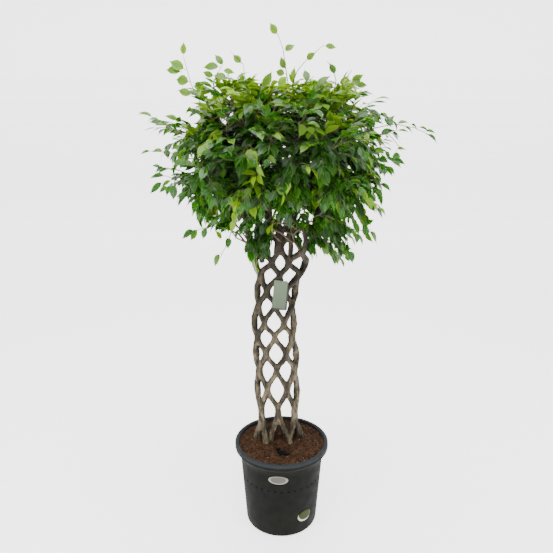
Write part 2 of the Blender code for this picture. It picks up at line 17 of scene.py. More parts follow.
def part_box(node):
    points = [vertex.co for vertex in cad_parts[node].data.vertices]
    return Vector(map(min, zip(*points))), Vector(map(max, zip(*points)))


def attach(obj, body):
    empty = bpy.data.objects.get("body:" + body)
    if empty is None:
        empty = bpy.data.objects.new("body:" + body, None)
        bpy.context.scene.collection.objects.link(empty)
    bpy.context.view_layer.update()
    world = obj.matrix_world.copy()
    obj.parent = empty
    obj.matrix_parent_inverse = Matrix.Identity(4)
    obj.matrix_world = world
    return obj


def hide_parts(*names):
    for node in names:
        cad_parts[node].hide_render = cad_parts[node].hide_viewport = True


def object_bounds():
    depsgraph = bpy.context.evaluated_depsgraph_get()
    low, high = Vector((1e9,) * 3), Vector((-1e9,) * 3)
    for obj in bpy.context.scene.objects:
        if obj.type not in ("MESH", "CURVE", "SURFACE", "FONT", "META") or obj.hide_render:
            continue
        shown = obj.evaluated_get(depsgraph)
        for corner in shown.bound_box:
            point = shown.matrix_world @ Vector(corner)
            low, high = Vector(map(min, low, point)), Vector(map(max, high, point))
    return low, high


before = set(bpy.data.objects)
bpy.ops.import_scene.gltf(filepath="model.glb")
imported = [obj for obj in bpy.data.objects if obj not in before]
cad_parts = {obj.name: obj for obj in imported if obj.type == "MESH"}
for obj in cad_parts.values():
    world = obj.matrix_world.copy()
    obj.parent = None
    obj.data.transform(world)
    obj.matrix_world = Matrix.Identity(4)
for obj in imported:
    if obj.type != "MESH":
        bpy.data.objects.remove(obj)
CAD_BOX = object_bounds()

bl_info = {
    "name": "Potted weeping fig",
    "version": (1, 0, 0),
    "blender": (4, 5, 0),
    "location": "3D View > Sidebar > Fig",
    "description": "Builds the pot, soil, woven trunk, leafy head, card and labels of a weeping fig",
    "category": "Object",
}

UP = Vector((0, 0, 1))

# The pot's outline, the same as the CAD's: radius, height and how much is rounded off the corner
LIP_WIDTH = 0.013
NECK_DROP = 0.050
BASE_RADIUS = 0.130
NECK_RADIUS = 0.150
POT_WALL = 0.003
POT_FLOOR = 0.004
FIT = 0.0003

# The net of stems, the same as the CAD's
RING_HEIGHTS = (0.285, 0.434, 0.513, 0.591, 0.650, 0.715, 0.763, 0.832, 0.877, 0.938, 0.983,
                1.038, 1.090)
RING_TURN = math.radians(30)
ROOT_SPLAY = 0.12
STEM_ROOT = 0.245
NET_BACK = 0.030
TILT_LINE_Y = -1.735
TILT_LINE_Z = 1.385
NET_SHIFT = ((0.24, -0.010), (0.31, -0.010), (0.59, -0.0175), (0.78, -0.027), (0.89, -0.019),
             (0.95, -0.006), (1.09, -0.004))
NET_HALF_WIDTH = ((0.24, 0.080), (0.31, 0.079), (0.40, 0.070), (0.59, 0.072), (0.78, 0.069),
                  (0.88, 0.065), (0.92, 0.069), (0.96, 0.082), (1.04, 0.096), (1.09, 0.104))
NET_HALF_DEPTH = ((0.24, 0.036), (0.40, 0.030), (0.88, 0.029), (0.96, 0.036), (1.04, 0.052),
                  (1.09, 0.066))
NET_GATHER = ((0.945, 0.0), (0.985, 0.22))
NET_SAG = ((0.98, 0.0), (1.04, 0.026))
WEAVE = ((0.24, -0.015), (0.434, 0.003))
STEM_RADIUS = ((0.24, 0.0112), (0.31, 0.0110), (0.40, 0.0094), (0.78, 0.0089), (0.94, 0.0098),
               (1.09, 0.0098))

# The head: its middle, how far its leaves reach at each angle above the level, in degrees, and
# how far a twig's end or a leaf's tip may stand outside the CAD's box in x, y and z
HEAD_MIDDLE = Vector((-0.012, 0.015, 1.290))
HEAD_REACH = ((-90, 0.10), (-60, 0.16), (-45, 0.240), (-32, 0.300), (-21, 0.342), (-12, 0.358),
              (0, 0.364), (7, 0.370), (21, 0.376), (35, 0.360), (47, 0.336), (70, 0.284),
              (90, 0.262))
SPARE = (0.024, 0.004, 0.035)
GOLDEN_TURN = math.pi * (3 - math.sqrt(5))

# Shoots seen against the sky: how far back each is, its line, and its leaves from root to tip,
# all as places across and up
SEEN_SHOOTS = (
    (-0.07, ((0.016, 1.541), (0.006, 1.602), (0.000, 1.640), (-0.016, 1.681)),
     ((0.009, 1.580, -0.011, 1.616), (0.003, 1.630, 0.028, 1.649), (-0.014, 1.675, -0.040, 1.706),
      (0.010, 1.569, -0.017, 1.577))),
    (-0.08, ((0.030, 1.546), (0.044, 1.579), (0.068, 1.606), (0.119, 1.648)),
     ((0.118, 1.646, 0.148, 1.642), (0.067, 1.606, 0.075, 1.612))),
    (-0.05, ((-0.233, 1.463), (-0.253, 1.497), (-0.275, 1.543), (-0.294, 1.619)),
     ((-0.294, 1.621, -0.293, 1.649), (-0.288, 1.583, -0.350, 1.610),
      (-0.298, 1.577, -0.363, 1.588), (-0.275, 1.549, -0.331, 1.560),
      (-0.269, 1.549, -0.228, 1.526), (-0.270, 1.512, -0.321, 1.526))),
    (-0.06, ((-0.176, 1.497), (-0.187, 1.531), (-0.198, 1.565), (-0.180, 1.592)),
     ((-0.174, 1.592, -0.202, 1.628), (-0.183, 1.590, -0.245, 1.595),
      (-0.180, 1.581, -0.145, 1.576), (-0.201, 1.565, -0.243, 1.573),
      (-0.163, 1.559, -0.204, 1.570), (-0.193, 1.539, -0.192, 1.576))),
    (-0.07, ((-0.092, 1.502), (-0.109, 1.547), (-0.117, 1.597), (-0.152, 1.630)),
     ((-0.120, 1.597, -0.146, 1.624), (-0.104, 1.535, -0.128, 1.550))),
    (-0.05, ((0.155, 1.520), (0.160, 1.554), (0.147, 1.588), (0.132, 1.608)),
     ((0.158, 1.569, 0.141, 1.602), (0.157, 1.530, 0.120, 1.545))),
    (-0.05, ((0.167, 1.515), (0.175, 1.537), (0.198, 1.571), (0.207, 1.583)),
     ((0.168, 1.540, 0.198, 1.566), (0.202, 1.549, 0.240, 1.571), (0.217, 1.537, 0.247, 1.543),
      (0.208, 1.557, 0.220, 1.549))),
    (0.00, ((0.292, 1.417), (0.354, 1.429), (0.418, 1.417), (0.487, 1.386)),
     ((0.358, 1.429, 0.395, 1.438), (0.383, 1.420, 0.409, 1.411), (0.402, 1.429, 0.434, 1.417),
      (0.427, 1.420, 0.460, 1.411), (0.447, 1.408, 0.476, 1.405), (0.454, 1.399, 0.497, 1.374),
      (0.330, 1.425, 0.345, 1.455))),
    (-0.02, ((0.299, 1.395), (0.330, 1.398), (0.356, 1.374), (0.373, 1.350)),
     ((0.339, 1.407, 0.369, 1.377), (0.358, 1.350, 0.389, 1.359), (0.358, 1.350, 0.360, 1.304),
      (0.320, 1.350, 0.340, 1.325))),
    (0.00, ((-0.308, 1.325), (-0.339, 1.337), (-0.377, 1.343), (-0.418, 1.346)),
     ((-0.377, 1.346, -0.415, 1.352), (-0.418, 1.346, -0.460, 1.340),
      (-0.340, 1.337, -0.365, 1.300))),
    (-0.04, ((-0.292, 1.239), (-0.336, 1.258), (-0.366, 1.271), (-0.392, 1.271)),
     ((-0.366, 1.271, -0.436, 1.264), (-0.348, 1.258, -0.387, 1.239),
      (-0.376, 1.255, -0.430, 1.208), (-0.337, 1.250, -0.366, 1.163))),
    (-0.10, ((-0.179, 1.115), (-0.213, 1.121), (-0.244, 1.115), (-0.270, 1.106)),
     ((-0.263, 1.115, -0.290, 1.074), (-0.235, 1.121, -0.249, 1.077),
      (-0.269, 1.109, -0.336, 1.077))),
    (-0.02, ((-0.164, 1.102), (-0.175, 1.062), (-0.192, 1.029), (-0.206, 1.002)),
     ((-0.202, 1.019, -0.257, 0.943), (-0.184, 1.075, -0.169, 1.029),
      (-0.198, 1.062, -0.213, 1.095))),
    (-0.06, ((0.200, 1.109), (0.242, 1.102), (0.267, 1.099), (0.286, 1.105)),
     ((0.274, 1.102, 0.320, 1.063), (0.236, 1.096, 0.243, 1.057), (0.260, 1.115, 0.285, 1.134))),
    (-0.04, ((0.103, 1.092), (0.142, 1.073), (0.175, 1.046), (0.202, 1.026)),
     ((0.122, 1.079, 0.117, 1.033), (0.149, 1.066, 0.164, 0.993), (0.175, 1.046, 0.206, 0.993),
      (0.202, 1.026, 0.245, 0.999), (0.189, 1.033, 0.227, 1.046))),
)

# Shoots at the back and sides: where each leaves the head, where it ends, and its leaves
OTHER_SHOOTS = (
    ((0.030, 0.250, 1.430), (0.050, 0.380, 1.400), 5),
    ((-0.110, 0.240, 1.190), (-0.150, 0.330, 1.120), 4),
    ((0.190, 0.210, 1.200), (0.250, 0.280, 1.130), 4),
    ((0.060, 0.120, 1.480), (0.100, 0.210, 1.550), 5),
    ((-0.120, 0.110, 1.500), (-0.180, 0.190, 1.590), 5),
    ((-0.200, 0.170, 1.400), (-0.300, 0.260, 1.420), 5),
    ((0.220, 0.150, 1.420), (0.310, 0.230, 1.450), 5),
)

# Where twigs end in tufts of hanging leaves, and how fresh the leaves are, with painted shade and
# light in that tone: darker under the head, lighter at the front
TUFTS = (
    (-0.078, -0.070, 1.046, 0.10), (-0.094, -0.070, 1.013, 0.15), (-0.065, -0.070, 1.039, 0.10),
    (-0.085, -0.070, 0.992, 0.45), (-0.052, -0.070, 1.072, 0.15), (-0.106, -0.070, 1.072, 0.10),
    (-0.040, -0.085, 1.120, 0.85), (-0.135, -0.060, 1.110, 0.25), (-0.180, -0.080, 1.125, 0.30),
    (-0.215, -0.060, 1.145, 0.35), (-0.240, -0.040, 1.150, 0.40), (-0.150, -0.120, 1.145, 0.75),
    (-0.105, -0.120, 1.135, 0.25), (-0.085, -0.030, 1.105, 0.10), (0.114, -0.060, 1.083, 0.20),
    (0.141, -0.060, 1.050, 0.25), (0.161, -0.060, 1.030, 0.35), (0.186, -0.060, 1.050, 0.25),
    (0.204, -0.060, 1.070, 0.30), (0.215, -0.050, 1.037, 0.35), (0.181, -0.060, 1.018, 0.30),
    (0.147, -0.060, 1.070, 0.15), (0.203, -0.060, 1.025, 0.35), (0.236, -0.060, 1.096, 0.30),
    (0.267, -0.060, 1.102, 0.35), (0.095, -0.060, 1.109, 0.15), (0.127, -0.060, 1.109, 0.20),
    (0.165, -0.060, 1.096, 0.20), (0.197, -0.060, 1.109, 0.25), (0.133, 0.000, 1.058, 0.10),
    (0.179, 0.000, 1.058, 0.10), (0.225, 0.000, 1.079, 0.15), (0.160, 0.000, 1.030, 0.15),
    (0.060, -0.110, 1.150, 0.25), (0.265, -0.030, 1.140, 0.35), (0.140, -0.110, 1.135, 0.25),
    (0.190, 0.060, 1.090, 0.15), (-0.120, 0.080, 1.095, 0.10), (0.020, -0.130, 1.165, 0.15),
    (0.098, -0.070, 1.078, 0.10), (0.095, -0.065, 1.050, 0.15), (0.089, -0.060, 1.037, 0.10),
    (-0.065, -0.060, 1.066, 0.05), (-0.052, -0.060, 1.050, 0.10), (-0.074, -0.060, 1.092, 0.05),
    (-0.084, -0.060, 1.070, 0.05), (-0.064, -0.070, 1.110, 0.10), (0.048, -0.050, 1.074, 0.05),
    (-0.083, -0.270, 1.356, 0.75), (-0.073, -0.270, 1.322, 0.80), (-0.076, -0.270, 1.288, 0.80),
    (-0.087, -0.265, 1.246, 0.72), (-0.001, -0.265, 1.246, 0.90), (0.073, -0.275, 1.309, 0.72),
    (-0.160, -0.220, 1.218, 0.85), (-0.133, -0.220, 1.190, 0.85), (-0.045, -0.050, 1.085, 0.00),
    (-0.020, -0.030, 1.105, 0.00), (0.045, -0.050, 1.115, 0.05), (0.020, -0.060, 1.135, 0.05),
    (-0.010, 0.140, 1.110, 0.10), (0.090, 0.140, 1.100, 0.15), (-0.090, 0.160, 1.120, 0.15),
)

# Limbs seen through the leaves at the top of the net, and thinner bare twigs round them
SEEN_LIMBS = (
    ((0.029, -0.055, 1.006), (0.054, -0.075, 1.024), (0.069, -0.088, 1.046), (0.074, -0.092, 1.076),
     (0.068, -0.090, 1.104), (0.049, -0.080, 1.125), (0.024, -0.060, 1.147)),
    ((0.023, -0.030, 0.973), (0.026, -0.040, 1.009), (0.029, -0.045, 1.044),
     (0.025, -0.045, 1.077), (0.015, -0.040, 1.112), (0.012, -0.030, 1.150)),
    ((-0.020, -0.026, 1.017), (-0.017, -0.034, 1.049), (-0.014, -0.038, 1.080),
     (-0.010, -0.038, 1.113), (-0.004, -0.034, 1.151)),
    ((-0.067, -0.020, 0.988), (-0.066, -0.035, 1.025), (-0.059, -0.045, 1.060),
     (-0.049, -0.050, 1.094), (-0.036, -0.050, 1.126)),
    ((0.006, -0.030, 1.011), (-0.004, -0.034, 1.041), (-0.007, -0.036, 1.071),
     (0.003, -0.036, 1.097), (0.019, -0.034, 1.120), (0.022, -0.030, 1.160)),
)
SEEN_TWIGS = (
    ((-0.082, -0.030, 1.020), (-0.095, -0.045, 1.045), (-0.120, -0.050, 1.061),
     (-0.146, -0.052, 1.074), (-0.171, -0.055, 1.107)),
    ((-0.090, -0.040, 1.035), (-0.101, -0.050, 1.051), (-0.120, -0.052, 1.081),
     (-0.139, -0.054, 1.107), (-0.161, -0.056, 1.130)),
    ((-0.120, -0.050, 1.061), (-0.141, -0.056, 1.090), (-0.165, -0.060, 1.100)),
    ((-0.039, -0.080, 1.121), (-0.020, -0.080, 1.131), (0.005, -0.078, 1.125),
     (0.030, -0.074, 1.118), (0.053, -0.066, 1.102), (0.066, -0.052, 1.085)),
    ((-0.050, -0.066, 1.115), (-0.030, -0.070, 1.107), (-0.004, -0.070, 1.094),
     (0.025, -0.068, 1.068), (0.044, -0.060, 1.059)),
    ((0.078, -0.045, 1.080), (0.100, -0.060, 1.112), (0.112, -0.070, 1.140)),
    ((-0.004, -0.040, 1.060), (-0.026, -0.056, 1.084), (-0.046, -0.062, 1.118),
     (-0.060, -0.064, 1.150)),
    ((0.060, -0.055, 1.030), (0.040, -0.062, 1.062), (0.028, -0.062, 1.100),
     (0.034, -0.060, 1.140)),
    ((-0.060, -0.030, 1.060), (-0.052, -0.050, 1.090), (-0.036, -0.064, 1.112),
     (-0.010, -0.072, 1.140)),
    ((0.010, -0.050, 1.095), (0.036, -0.066, 1.090), (0.058, -0.070, 1.110),
     (0.082, -0.074, 1.125)),
)

# How far along the leaf, and its half width there as a share of the widest
LEAF_OUTLINE = ((0.00, 0.06), (0.10, 0.62), (0.29, 0.98), (0.51, 0.95), (0.70, 0.58),
                (0.84, 0.17), (1.00, 0.01))


def read_off(table, place):
    """The value at a place along a table of (place, value) pairs, with smooth joins."""
    if place <= table[0][0]:
        return table[0][1]
    for (low, first), (high, second) in zip(table, table[1:]):
        if place <= high:
            t = (place - low) / (high - low)
            return first + (second - first) * t * t * (3 - 2 * t)
    return table[-1][1]


def across(turn):
    """The level direction at an angle from the front."""
    return Vector((math.sin(turn), -math.cos(turn), 0.0))


def eased(corners, steps=5):
    """An outline with its corners rounded, from (radius, height, cut off the corner)."""
    path = []
    for before, here, after in zip([corners[0], *corners], corners, [*corners[1:], corners[-1]]):
        middle = Vector(here[:2])
        if here[2] == 0:
            path.append(middle)
            continue
        start = middle + (Vector(before[:2]) - middle).normalized() * here[2]
        end = middle + (Vector(after[:2]) - middle).normalized() * here[2]
        for step in range(steps + 1):
            t = step / steps
            path.append(start.lerp(middle, t).lerp(middle.lerp(end, t), t))
    return path


def piece_from(shape, name, slot, looks, *nodes):
    """A finished piece from a bmesh: smooth, on the root body, and shown for its CAD nodes."""
    mesh = bpy.data.meshes.new(name)
    shape.to_mesh(mesh)
    shape.free()
    for face in mesh.polygons:
        face.use_smooth = True
    for look in looks:
        mesh.materials.append(look)
    piece = bpy.data.objects.new(name, mesh)
    bpy.context.scene.collection.objects.link(piece)
    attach(piece, "root")
    if nodes:
        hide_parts(*nodes)
    return piece


def turned(profile, steps):
    """A bmesh of revolution about the pot's axis, from points of radius and height."""
    shape = bmesh.new()
    knots = [shape.verts.new((radius, 0.0, height)) for radius, height in profile]
    runs = [shape.edges.new(pair) for pair in zip(knots, knots[1:])]
    bmesh.ops.spin(shape, geom=knots + runs, cent=(0, 0, 0), axis=(0, 0, 1), angle=math.tau,
                   steps=steps, use_merge=True)
    bmesh.ops.remove_doubles(shape, verts=shape.verts, dist=1e-5)
    bmesh.ops.recalc_face_normals(shape, faces=shape.faces)
    return shape


def tubes(lines, fullness):
    """A mesh of round tubes, one for each (points, radii) line."""
    curve = bpy.data.curves.new("lines", "CURVE")
    curve.dimensions = "3D"
    curve.bevel_depth = 1.0
    curve.bevel_resolution = fullness
    curve.use_fill_caps = True
    for points, radii in lines:
        spline = curve.splines.new("POLY")
        spline.points.add(len(points) - 1)
        for knot, place, radius in zip(spline.points, points, radii):
            knot.co = (*place, 1.0)
            knot.radius = radius
    guide = bpy.data.objects.new("lines", curve)
    bpy.context.scene.collection.objects.link(guide)
    bpy.context.view_layer.update()
    seen = guide.evaluated_get(bpy.context.evaluated_depsgraph_get())
    mesh = bpy.data.meshes.new_from_object(seen)
    bpy.data.objects.remove(guide)
    return mesh


def set_tone(mesh, value):
    """Give every point of a mesh one tone, which its finish reads as a colour."""
    tone = mesh.attributes.get("tone") or mesh.attributes.new("tone", "FLOAT", "POINT")
    tone.data.foreach_set("value", [value] * len(mesh.vertices))


def add_copy(shape, mesh, spot, tone):
    """Add to a bmesh one copy of a small mesh, at a place and with a tone."""
    set_tone(mesh, tone)
    mesh.transform(spot)
    shape.from_mesh(mesh)
    mesh.transform(spot.inverted())


# Finishes


class Finish:
    """A procedural finish under construction: a Principled shader and what feeds it."""

    def __init__(self, name, roughness, colour=(0.5, 0.5, 0.5), **numbers):
        self.look = bpy.data.materials.new(name)
        self.look.use_nodes = True
        self.tree = self.look.node_tree
        self.shader = self.tree.nodes["Principled BSDF"]
        self.shader.inputs["Roughness"].default_value = roughness
        self.shader.inputs["Base Color"].default_value = (*colour, 1.0)
        for socket, number in numbers.items():
            self.shader.inputs[socket.replace("_", " ")].default_value = number
        self.places = self.tree.nodes.new("ShaderNodeTexCoord").outputs["Object"]

    def add(self, kind, links=(), **settings):
        """A node with some sockets linked, and others or its settings given by name."""
        made = self.tree.nodes.new("ShaderNode" + kind)
        for name, value in settings.items():
            if hasattr(made, name):
                setattr(made, name, value)
            else:
                made.inputs[name.replace("_", " ")].default_value = value
        for socket, source in dict(links).items():
            self.tree.links.new(source, made.inputs[socket])
        return made

    def grain(self, scale, detail=4.0, stretch=None, rough=0.5):
        """Noise on the piece's own places, perhaps stretched, from 0 to 1."""
        place = self.places
        if stretch:
            place = self.add("Mapping", {"Vector": place}, Scale=stretch).outputs[0]
        made = self.add("TexNoise", {"Vector": place}, Scale=scale, Detail=detail,
                        Roughness=rough)
        return made.outputs["Fac"]

    def ramp(self, source, *stops):
        """Colours read off a value, from (place, colour) stops."""
        made = self.add("ValToRGB", {"Fac": source})
        while len(made.color_ramp.elements) < len(stops):
            made.color_ramp.elements.new(0.5)
        for stop, (place, colour) in zip(made.color_ramp.elements, stops):
            stop.position = place
            stop.color = (*colour, 1.0)
        return made.outputs["Color"]

    def mix(self, share, first, second, blend="MIX"):
        """Two colours mixed by a share, each a socket or a plain colour."""
        made = self.add("Mix", data_type="RGBA", blend_type=blend)
        for number, source in ((0, share), (6, first), (7, second)):
            if isinstance(source, bpy.types.NodeSocket):
                self.tree.links.new(source, made.inputs[number])
            elif number:
                made.inputs[number].default_value = (*source, 1.0)
            else:
                made.inputs[number].default_value = source
        return made.outputs[2]

    def stretch(self, source, low, high, to_low=0.0, to_high=1.0):
        """A value moved from one range to another, and held within it."""
        made = self.add("MapRange", {"Value": source})
        for number, value in enumerate((low, high, to_low, to_high), 1):
            made.inputs[number].default_value = value
        return made.outputs[0]

    def height(self):
        """The place's height in the row frame."""
        return self.add("SeparateXYZ", {"Vector": self.places}).outputs["Z"]

    def tone(self):
        return self.add("Attribute", attribute_name="tone").outputs["Fac"]

    def paint(self, socket, source):
        self.tree.links.new(source, self.shader.inputs[socket])

    def bump(self, source, strength, distance=0.001):
        made = self.add("Bump", {"Height": source}, Strength=strength, Distance=distance)
        self.paint("Normal", made.outputs[0])


def pot_finish(sizes):
    made = Finish("pot plastic", 0.52, Specular_IOR_Level=0.08)
    dull = made.grain(7.0, 3.0)
    wall = made.mix(dull, sizes.wall_colour, [c * 1.35 for c in sizes.wall_colour])
    # Painted reflection: the top of the lip turns a lighter blue-grey, for the pale surroundings
    # mirrored in it.
    rim = made.mix(dull, sizes.rim_reflection_colour, [c * 1.2 for c in sizes.rim_reflection_colour])
    share = made.stretch(made.height(), 0.302, 0.3135)
    made.paint("Base Color", made.mix(share, wall, rim))
    made.paint("Roughness", made.stretch(made.grain(30.0), 0.3, 0.7, 0.62, 0.78))
    made.bump(made.grain(900.0, 2.0), 0.10, 0.0004)
    return made.look


def dimple_shade_finish():
    made = Finish("dimple", 0.8, Specular_IOR_Level=0.1)
    # Painted shade: the pits are coloured darker than the wall, for the shade in these recesses.
    made.paint("Base Color", made.ramp(made.grain(200.0), (0.3, (0.002, 0.002, 0.002)),
                                       (0.7, (0.005, 0.005, 0.004))))
    return made.look


def soil_finish(sizes):
    made = Finish("moist peat", 0.95, Specular_IOR_Level=0.25)
    coarse = made.mix(0.45, made.grain(230.0, 5.0, rough=0.7), made.grain(75.0, 4.0, (1, 0.5, 1)))
    fine = made.ramp(coarse, (0.36, (0.006, 0.003, 0.0015)),
                     (0.46, sizes.soil_colour), (0.57, sizes.soil_light), (0.68, (0.17, 0.09, 0.040)))
    patch = made.stretch(made.grain(16.0, 3.0), 0.35, 0.7, 0.0, 0.5)
    fine = made.mix(patch, fine, (0.014, 0.006, 0.003))
    own = made.ramp(made.tone(), (0.0, (0.0025, 0.002, 0.002)), (0.25, (0.020, 0.009, 0.004)),
                    (0.6, sizes.soil_light), (0.9, (0.16, 0.09, 0.045)), (1.0, (0.28, 0.23, 0.17)))
    used = made.stretch(made.tone(), -0.6, -0.4)
    made.paint("Base Color", made.mix(used, fine, own))
    made.bump(made.grain(420.0, 5.0, rough=0.65), 0.8, 0.0015)
    return made.look


def bark_finish(sizes):
    made = Finish("fig bark", 0.82, Specular_IOR_Level=0.3)
    streak = made.grain(60.0, 5.0, (1.0, 1.0, 0.35), 0.65)
    low = made.ramp(streak, (0.36, [c * 0.14 for c in sizes.low_colour]), (0.49, sizes.low_colour),
                    (0.62, [c * 3.2 for c in sizes.low_colour]))
    high = made.ramp(streak, (0.36, [c * 0.2 for c in sizes.high_colour]),
                     (0.52, sizes.high_colour), (0.68, [c * 3.0 for c in sizes.high_colour]))
    where = made.add("Math", {0: made.height()}, operation="ADD")
    drift = made.stretch(made.grain(9.0, 2.0), 0.3, 0.7, -0.10, 0.10)
    made.tree.links.new(drift, where.inputs[1])
    share = made.stretch(where.outputs[0], 0.36, 0.92)
    bark = made.mix(share, low, high)
    moss = made.stretch(made.grain(24.0, 3.0), 0.52, 0.70, 0.0, 0.35)
    bark = made.mix(moss, bark, (0.055, 0.055, 0.024))
    pores = made.add("TexVoronoi", {"Vector": made.places}, Scale=330.0)
    spots = made.stretch(pores.outputs["Distance"], 0.10, 0.22, 0.45, 0.0)
    bark = made.mix(spots, bark, (0.26, 0.22, 0.16))
    made.paint("Base Color", bark)
    made.bump(made.grain(210.0, 6.0, (1.0, 1.0, 0.5), 0.7), 0.75, 0.0016)
    return made.look


def twig_finish():
    made = Finish("fig twig", 0.7, Specular_IOR_Level=0.35)
    tint = made.ramp(made.grain(90.0), (0.35, (0.045, 0.030, 0.018)), (0.65, (0.16, 0.12, 0.07)))
    green = made.ramp(made.grain(40.0), (0.4, (0.07, 0.11, 0.025)), (0.6, (0.15, 0.20, 0.05)))
    made.paint("Base Color", made.mix(made.tone(), tint, green))
    made.bump(made.grain(500.0), 0.3)
    return made.look


def leaf_finish(sizes):
    made = Finish("fig leaf", 0.34, Specular_IOR_Level=0.34, Subsurface_Weight=0.25,
                  Subsurface_Radius=(0.6, 1.0, 0.12), Subsurface_Scale=0.003)
    # The tone runs from old to young leaves and also carries painted light and shade, so these
    # colours also stand for leaves shaded inside the head and lit at its top and outside.
    blade = made.ramp(made.tone(), (0.0, sizes.old_and_shaded_colour), (0.45, sizes.grown_colour),
                      (0.75, sizes.fresh_and_lit_colour), (1.0, sizes.young_and_lit_colour))
    blotch = made.stretch(made.grain(75.0, 3.0), 0.3, 0.7, 0.0, 0.35)
    blade = made.mix(blotch, blade, (0.7, 0.75, 0.7), "MULTIPLY")
    spot = made.add("UVMap", uv_map="leaf")
    sides = made.add("SeparateXYZ", {"Vector": spot.outputs[0]})
    aside = made.add("Math", {0: sides.outputs["X"]}, operation="ABSOLUTE")
    rib = made.stretch(aside.outputs[0], 0.03, 0.10, 0.55, 0.0)
    blade = made.mix(rib, blade, sizes.rib_colour)
    slope = made.add("Math", {0: aside.outputs[0]}, operation="MULTIPLY")
    slope.inputs[1].default_value = 0.22
    lean = made.add("Math", {0: sides.outputs["Y"], 1: slope.outputs[0]}, operation="SUBTRACT")
    row = made.add("CombineXYZ", {"X": lean.outputs[0]})
    veins = made.add("TexWave", {"Vector": row.outputs[0]}, Scale=4.2, Distortion=0.6)
    vein = made.stretch(veins.outputs["Fac"], 0.82, 0.98, 0.0, 0.22)
    blade = made.mix(vein, blade, sizes.rib_colour)
    made.paint("Base Color", blade)
    made.paint("Roughness", made.stretch(made.grain(120.0), 0.3, 0.7, 0.26, 0.42))
    made.bump(veins.outputs["Fac"], 0.25, 0.0006)
    return made.look


def card_finish(sizes, share):
    made = Finish("printed card", 0.58, Specular_IOR_Level=0.35)
    # A share below one gives a darker copy of the card's finish, used as painted shade.
    ink = [c * share for c in sizes.card_colour]
    fleck = made.grain(260.0, 3.0)
    paper = made.mix(fleck, ink, [c * 1.18 for c in ink])
    # The card is darker towards the bottom.
    darker_to_bottom = made.stretch(made.height(), 0.825, 0.90, 0.60, 0.0)
    made.paint("Base Color", made.mix(darker_to_bottom, paper, [c * 0.6 for c in ink]))
    made.bump(made.grain(700.0), 0.12, 0.0004)
    return made.look


def thread_finish():
    made = Finish("dark thread", 0.75, (0.02, 0.02, 0.02))
    twist = made.add("TexWave", {"Vector": made.places}, Scale=420.0, Distortion=1.0)
    made.paint("Base Color", made.ramp(twist.outputs["Fac"], (0.2, (0.008, 0.008, 0.008)),
                                       (0.8, (0.045, 0.045, 0.042))))
    made.bump(twist.outputs["Fac"], 0.5, 0.0003)
    return made.look


def oval_finish(sizes):
    made = Finish("oval label", 0.5, Specular_IOR_Level=0.2)
    place = made.add("UVMap", uv_map="label")
    far = made.add("VectorMath", {0: place.outputs[0]}, operation="LENGTH").outputs["Value"]
    middle = made.mix(made.grain(300.0), [c * 0.30 for c in sizes.oval_colour],
                      [c * 0.42 for c in sizes.oval_colour])
    rim = made.stretch(far, 0.76, 0.82)
    made.paint("Base Color", made.mix(rim, middle, sizes.oval_colour))
    made.bump(made.stretch(far, 0.80, 0.86), 0.3, 0.0004)
    return made.look


def green_finish(sizes):
    made = Finish("green label", 0.5, Specular_IOR_Level=0.12)
    place = made.add("UVMap", uv_map="label")
    moved = made.add("VectorMath", {0: place.outputs[0]}, operation="SUBTRACT")
    moved.inputs[1].default_value = (0.16, 0.36, 0.0)
    far = made.add("VectorMath", {0: moved.outputs[0]}, operation="LENGTH").outputs["Value"]
    edge = made.add("VectorMath", {0: place.outputs[0]}, operation="LENGTH").outputs["Value"]
    print_colour = made.mix(made.grain(180.0), sizes.green_colour,
                            [c * 1.5 for c in sizes.green_colour])
    crescent = made.stretch(far, 1.06, 1.10)
    made.paint("Base Color", made.mix(crescent, print_colour, (0.46, 0.50, 0.36)))
    made.bump(made.stretch(edge, 0.90, 0.96), 0.2, 0.0003)
    return made.look


# Properties


class FigPot(bpy.types.PropertyGroup):
    """Sizes and colours of the pot and soil."""

    dimples: IntProperty(name="Dimples", description="Small dimples in the ring round the pot",
                         default=38, min=0)
    dimple_height: FloatProperty(name="Dimple height", description="Height of the dimple ring",
                                 default=0.197, unit="LENGTH")
    dimple_depth: FloatProperty(name="Dimple depth", description="How deep each dimple is",
                                default=0.0015, unit="LENGTH")
    wall_colour: FloatVectorProperty(name="Wall", description="Colour of the pot's wall",
                                     default=(0.0044, 0.0044, 0.0034), subtype="COLOR")
    # Painted reflection: the rim's colour stands for the pale surroundings mirrored in the lip's top.
    rim_reflection_colour: FloatVectorProperty(name="Rim", description="Colour of the pot's rim",
                                    default=(0.028, 0.033, 0.036), subtype="COLOR")
    soil_colour: FloatVectorProperty(name="Soil", description="Main colour of the peat",
                                     default=(0.040, 0.0165, 0.0060), subtype="COLOR")
    soil_light: FloatVectorProperty(name="Soil fibres", description="Colour of dry bits of peat",
                                    default=(0.090, 0.040, 0.016), subtype="COLOR")
    crumbs: IntProperty(name="Crumbs", description="Loose crumbs of peat on the soil",
                        default=1700, min=0)
    fibres: IntProperty(name="Fibres", description="Loose fibres on the soil", default=420, min=0)


class FigTrunk(bpy.types.PropertyGroup):
    """Sizes and colours of the trunk and limbs."""

    wave: FloatProperty(name="Wave", description="How much the stems bend between crossings",
                        default=0.42, min=0.0, max=1.0)
    graft: FloatProperty(name="Graft", description="How much thicker a stem is at a crossing",
                         default=0.14, min=0.0, max=0.5)
    knobs: FloatProperty(name="Knobs", description="How far the bark's knobs stand out",
                         default=0.0014, unit="LENGTH")
    low_colour: FloatVectorProperty(name="Low bark", description="Colour of the bark near the soil",
                                    default=(0.078, 0.063, 0.040), subtype="COLOR")
    high_colour: FloatVectorProperty(name="High bark", description="Colour of the bark in the head",
                                     default=(0.024, 0.018, 0.011), subtype="COLOR")


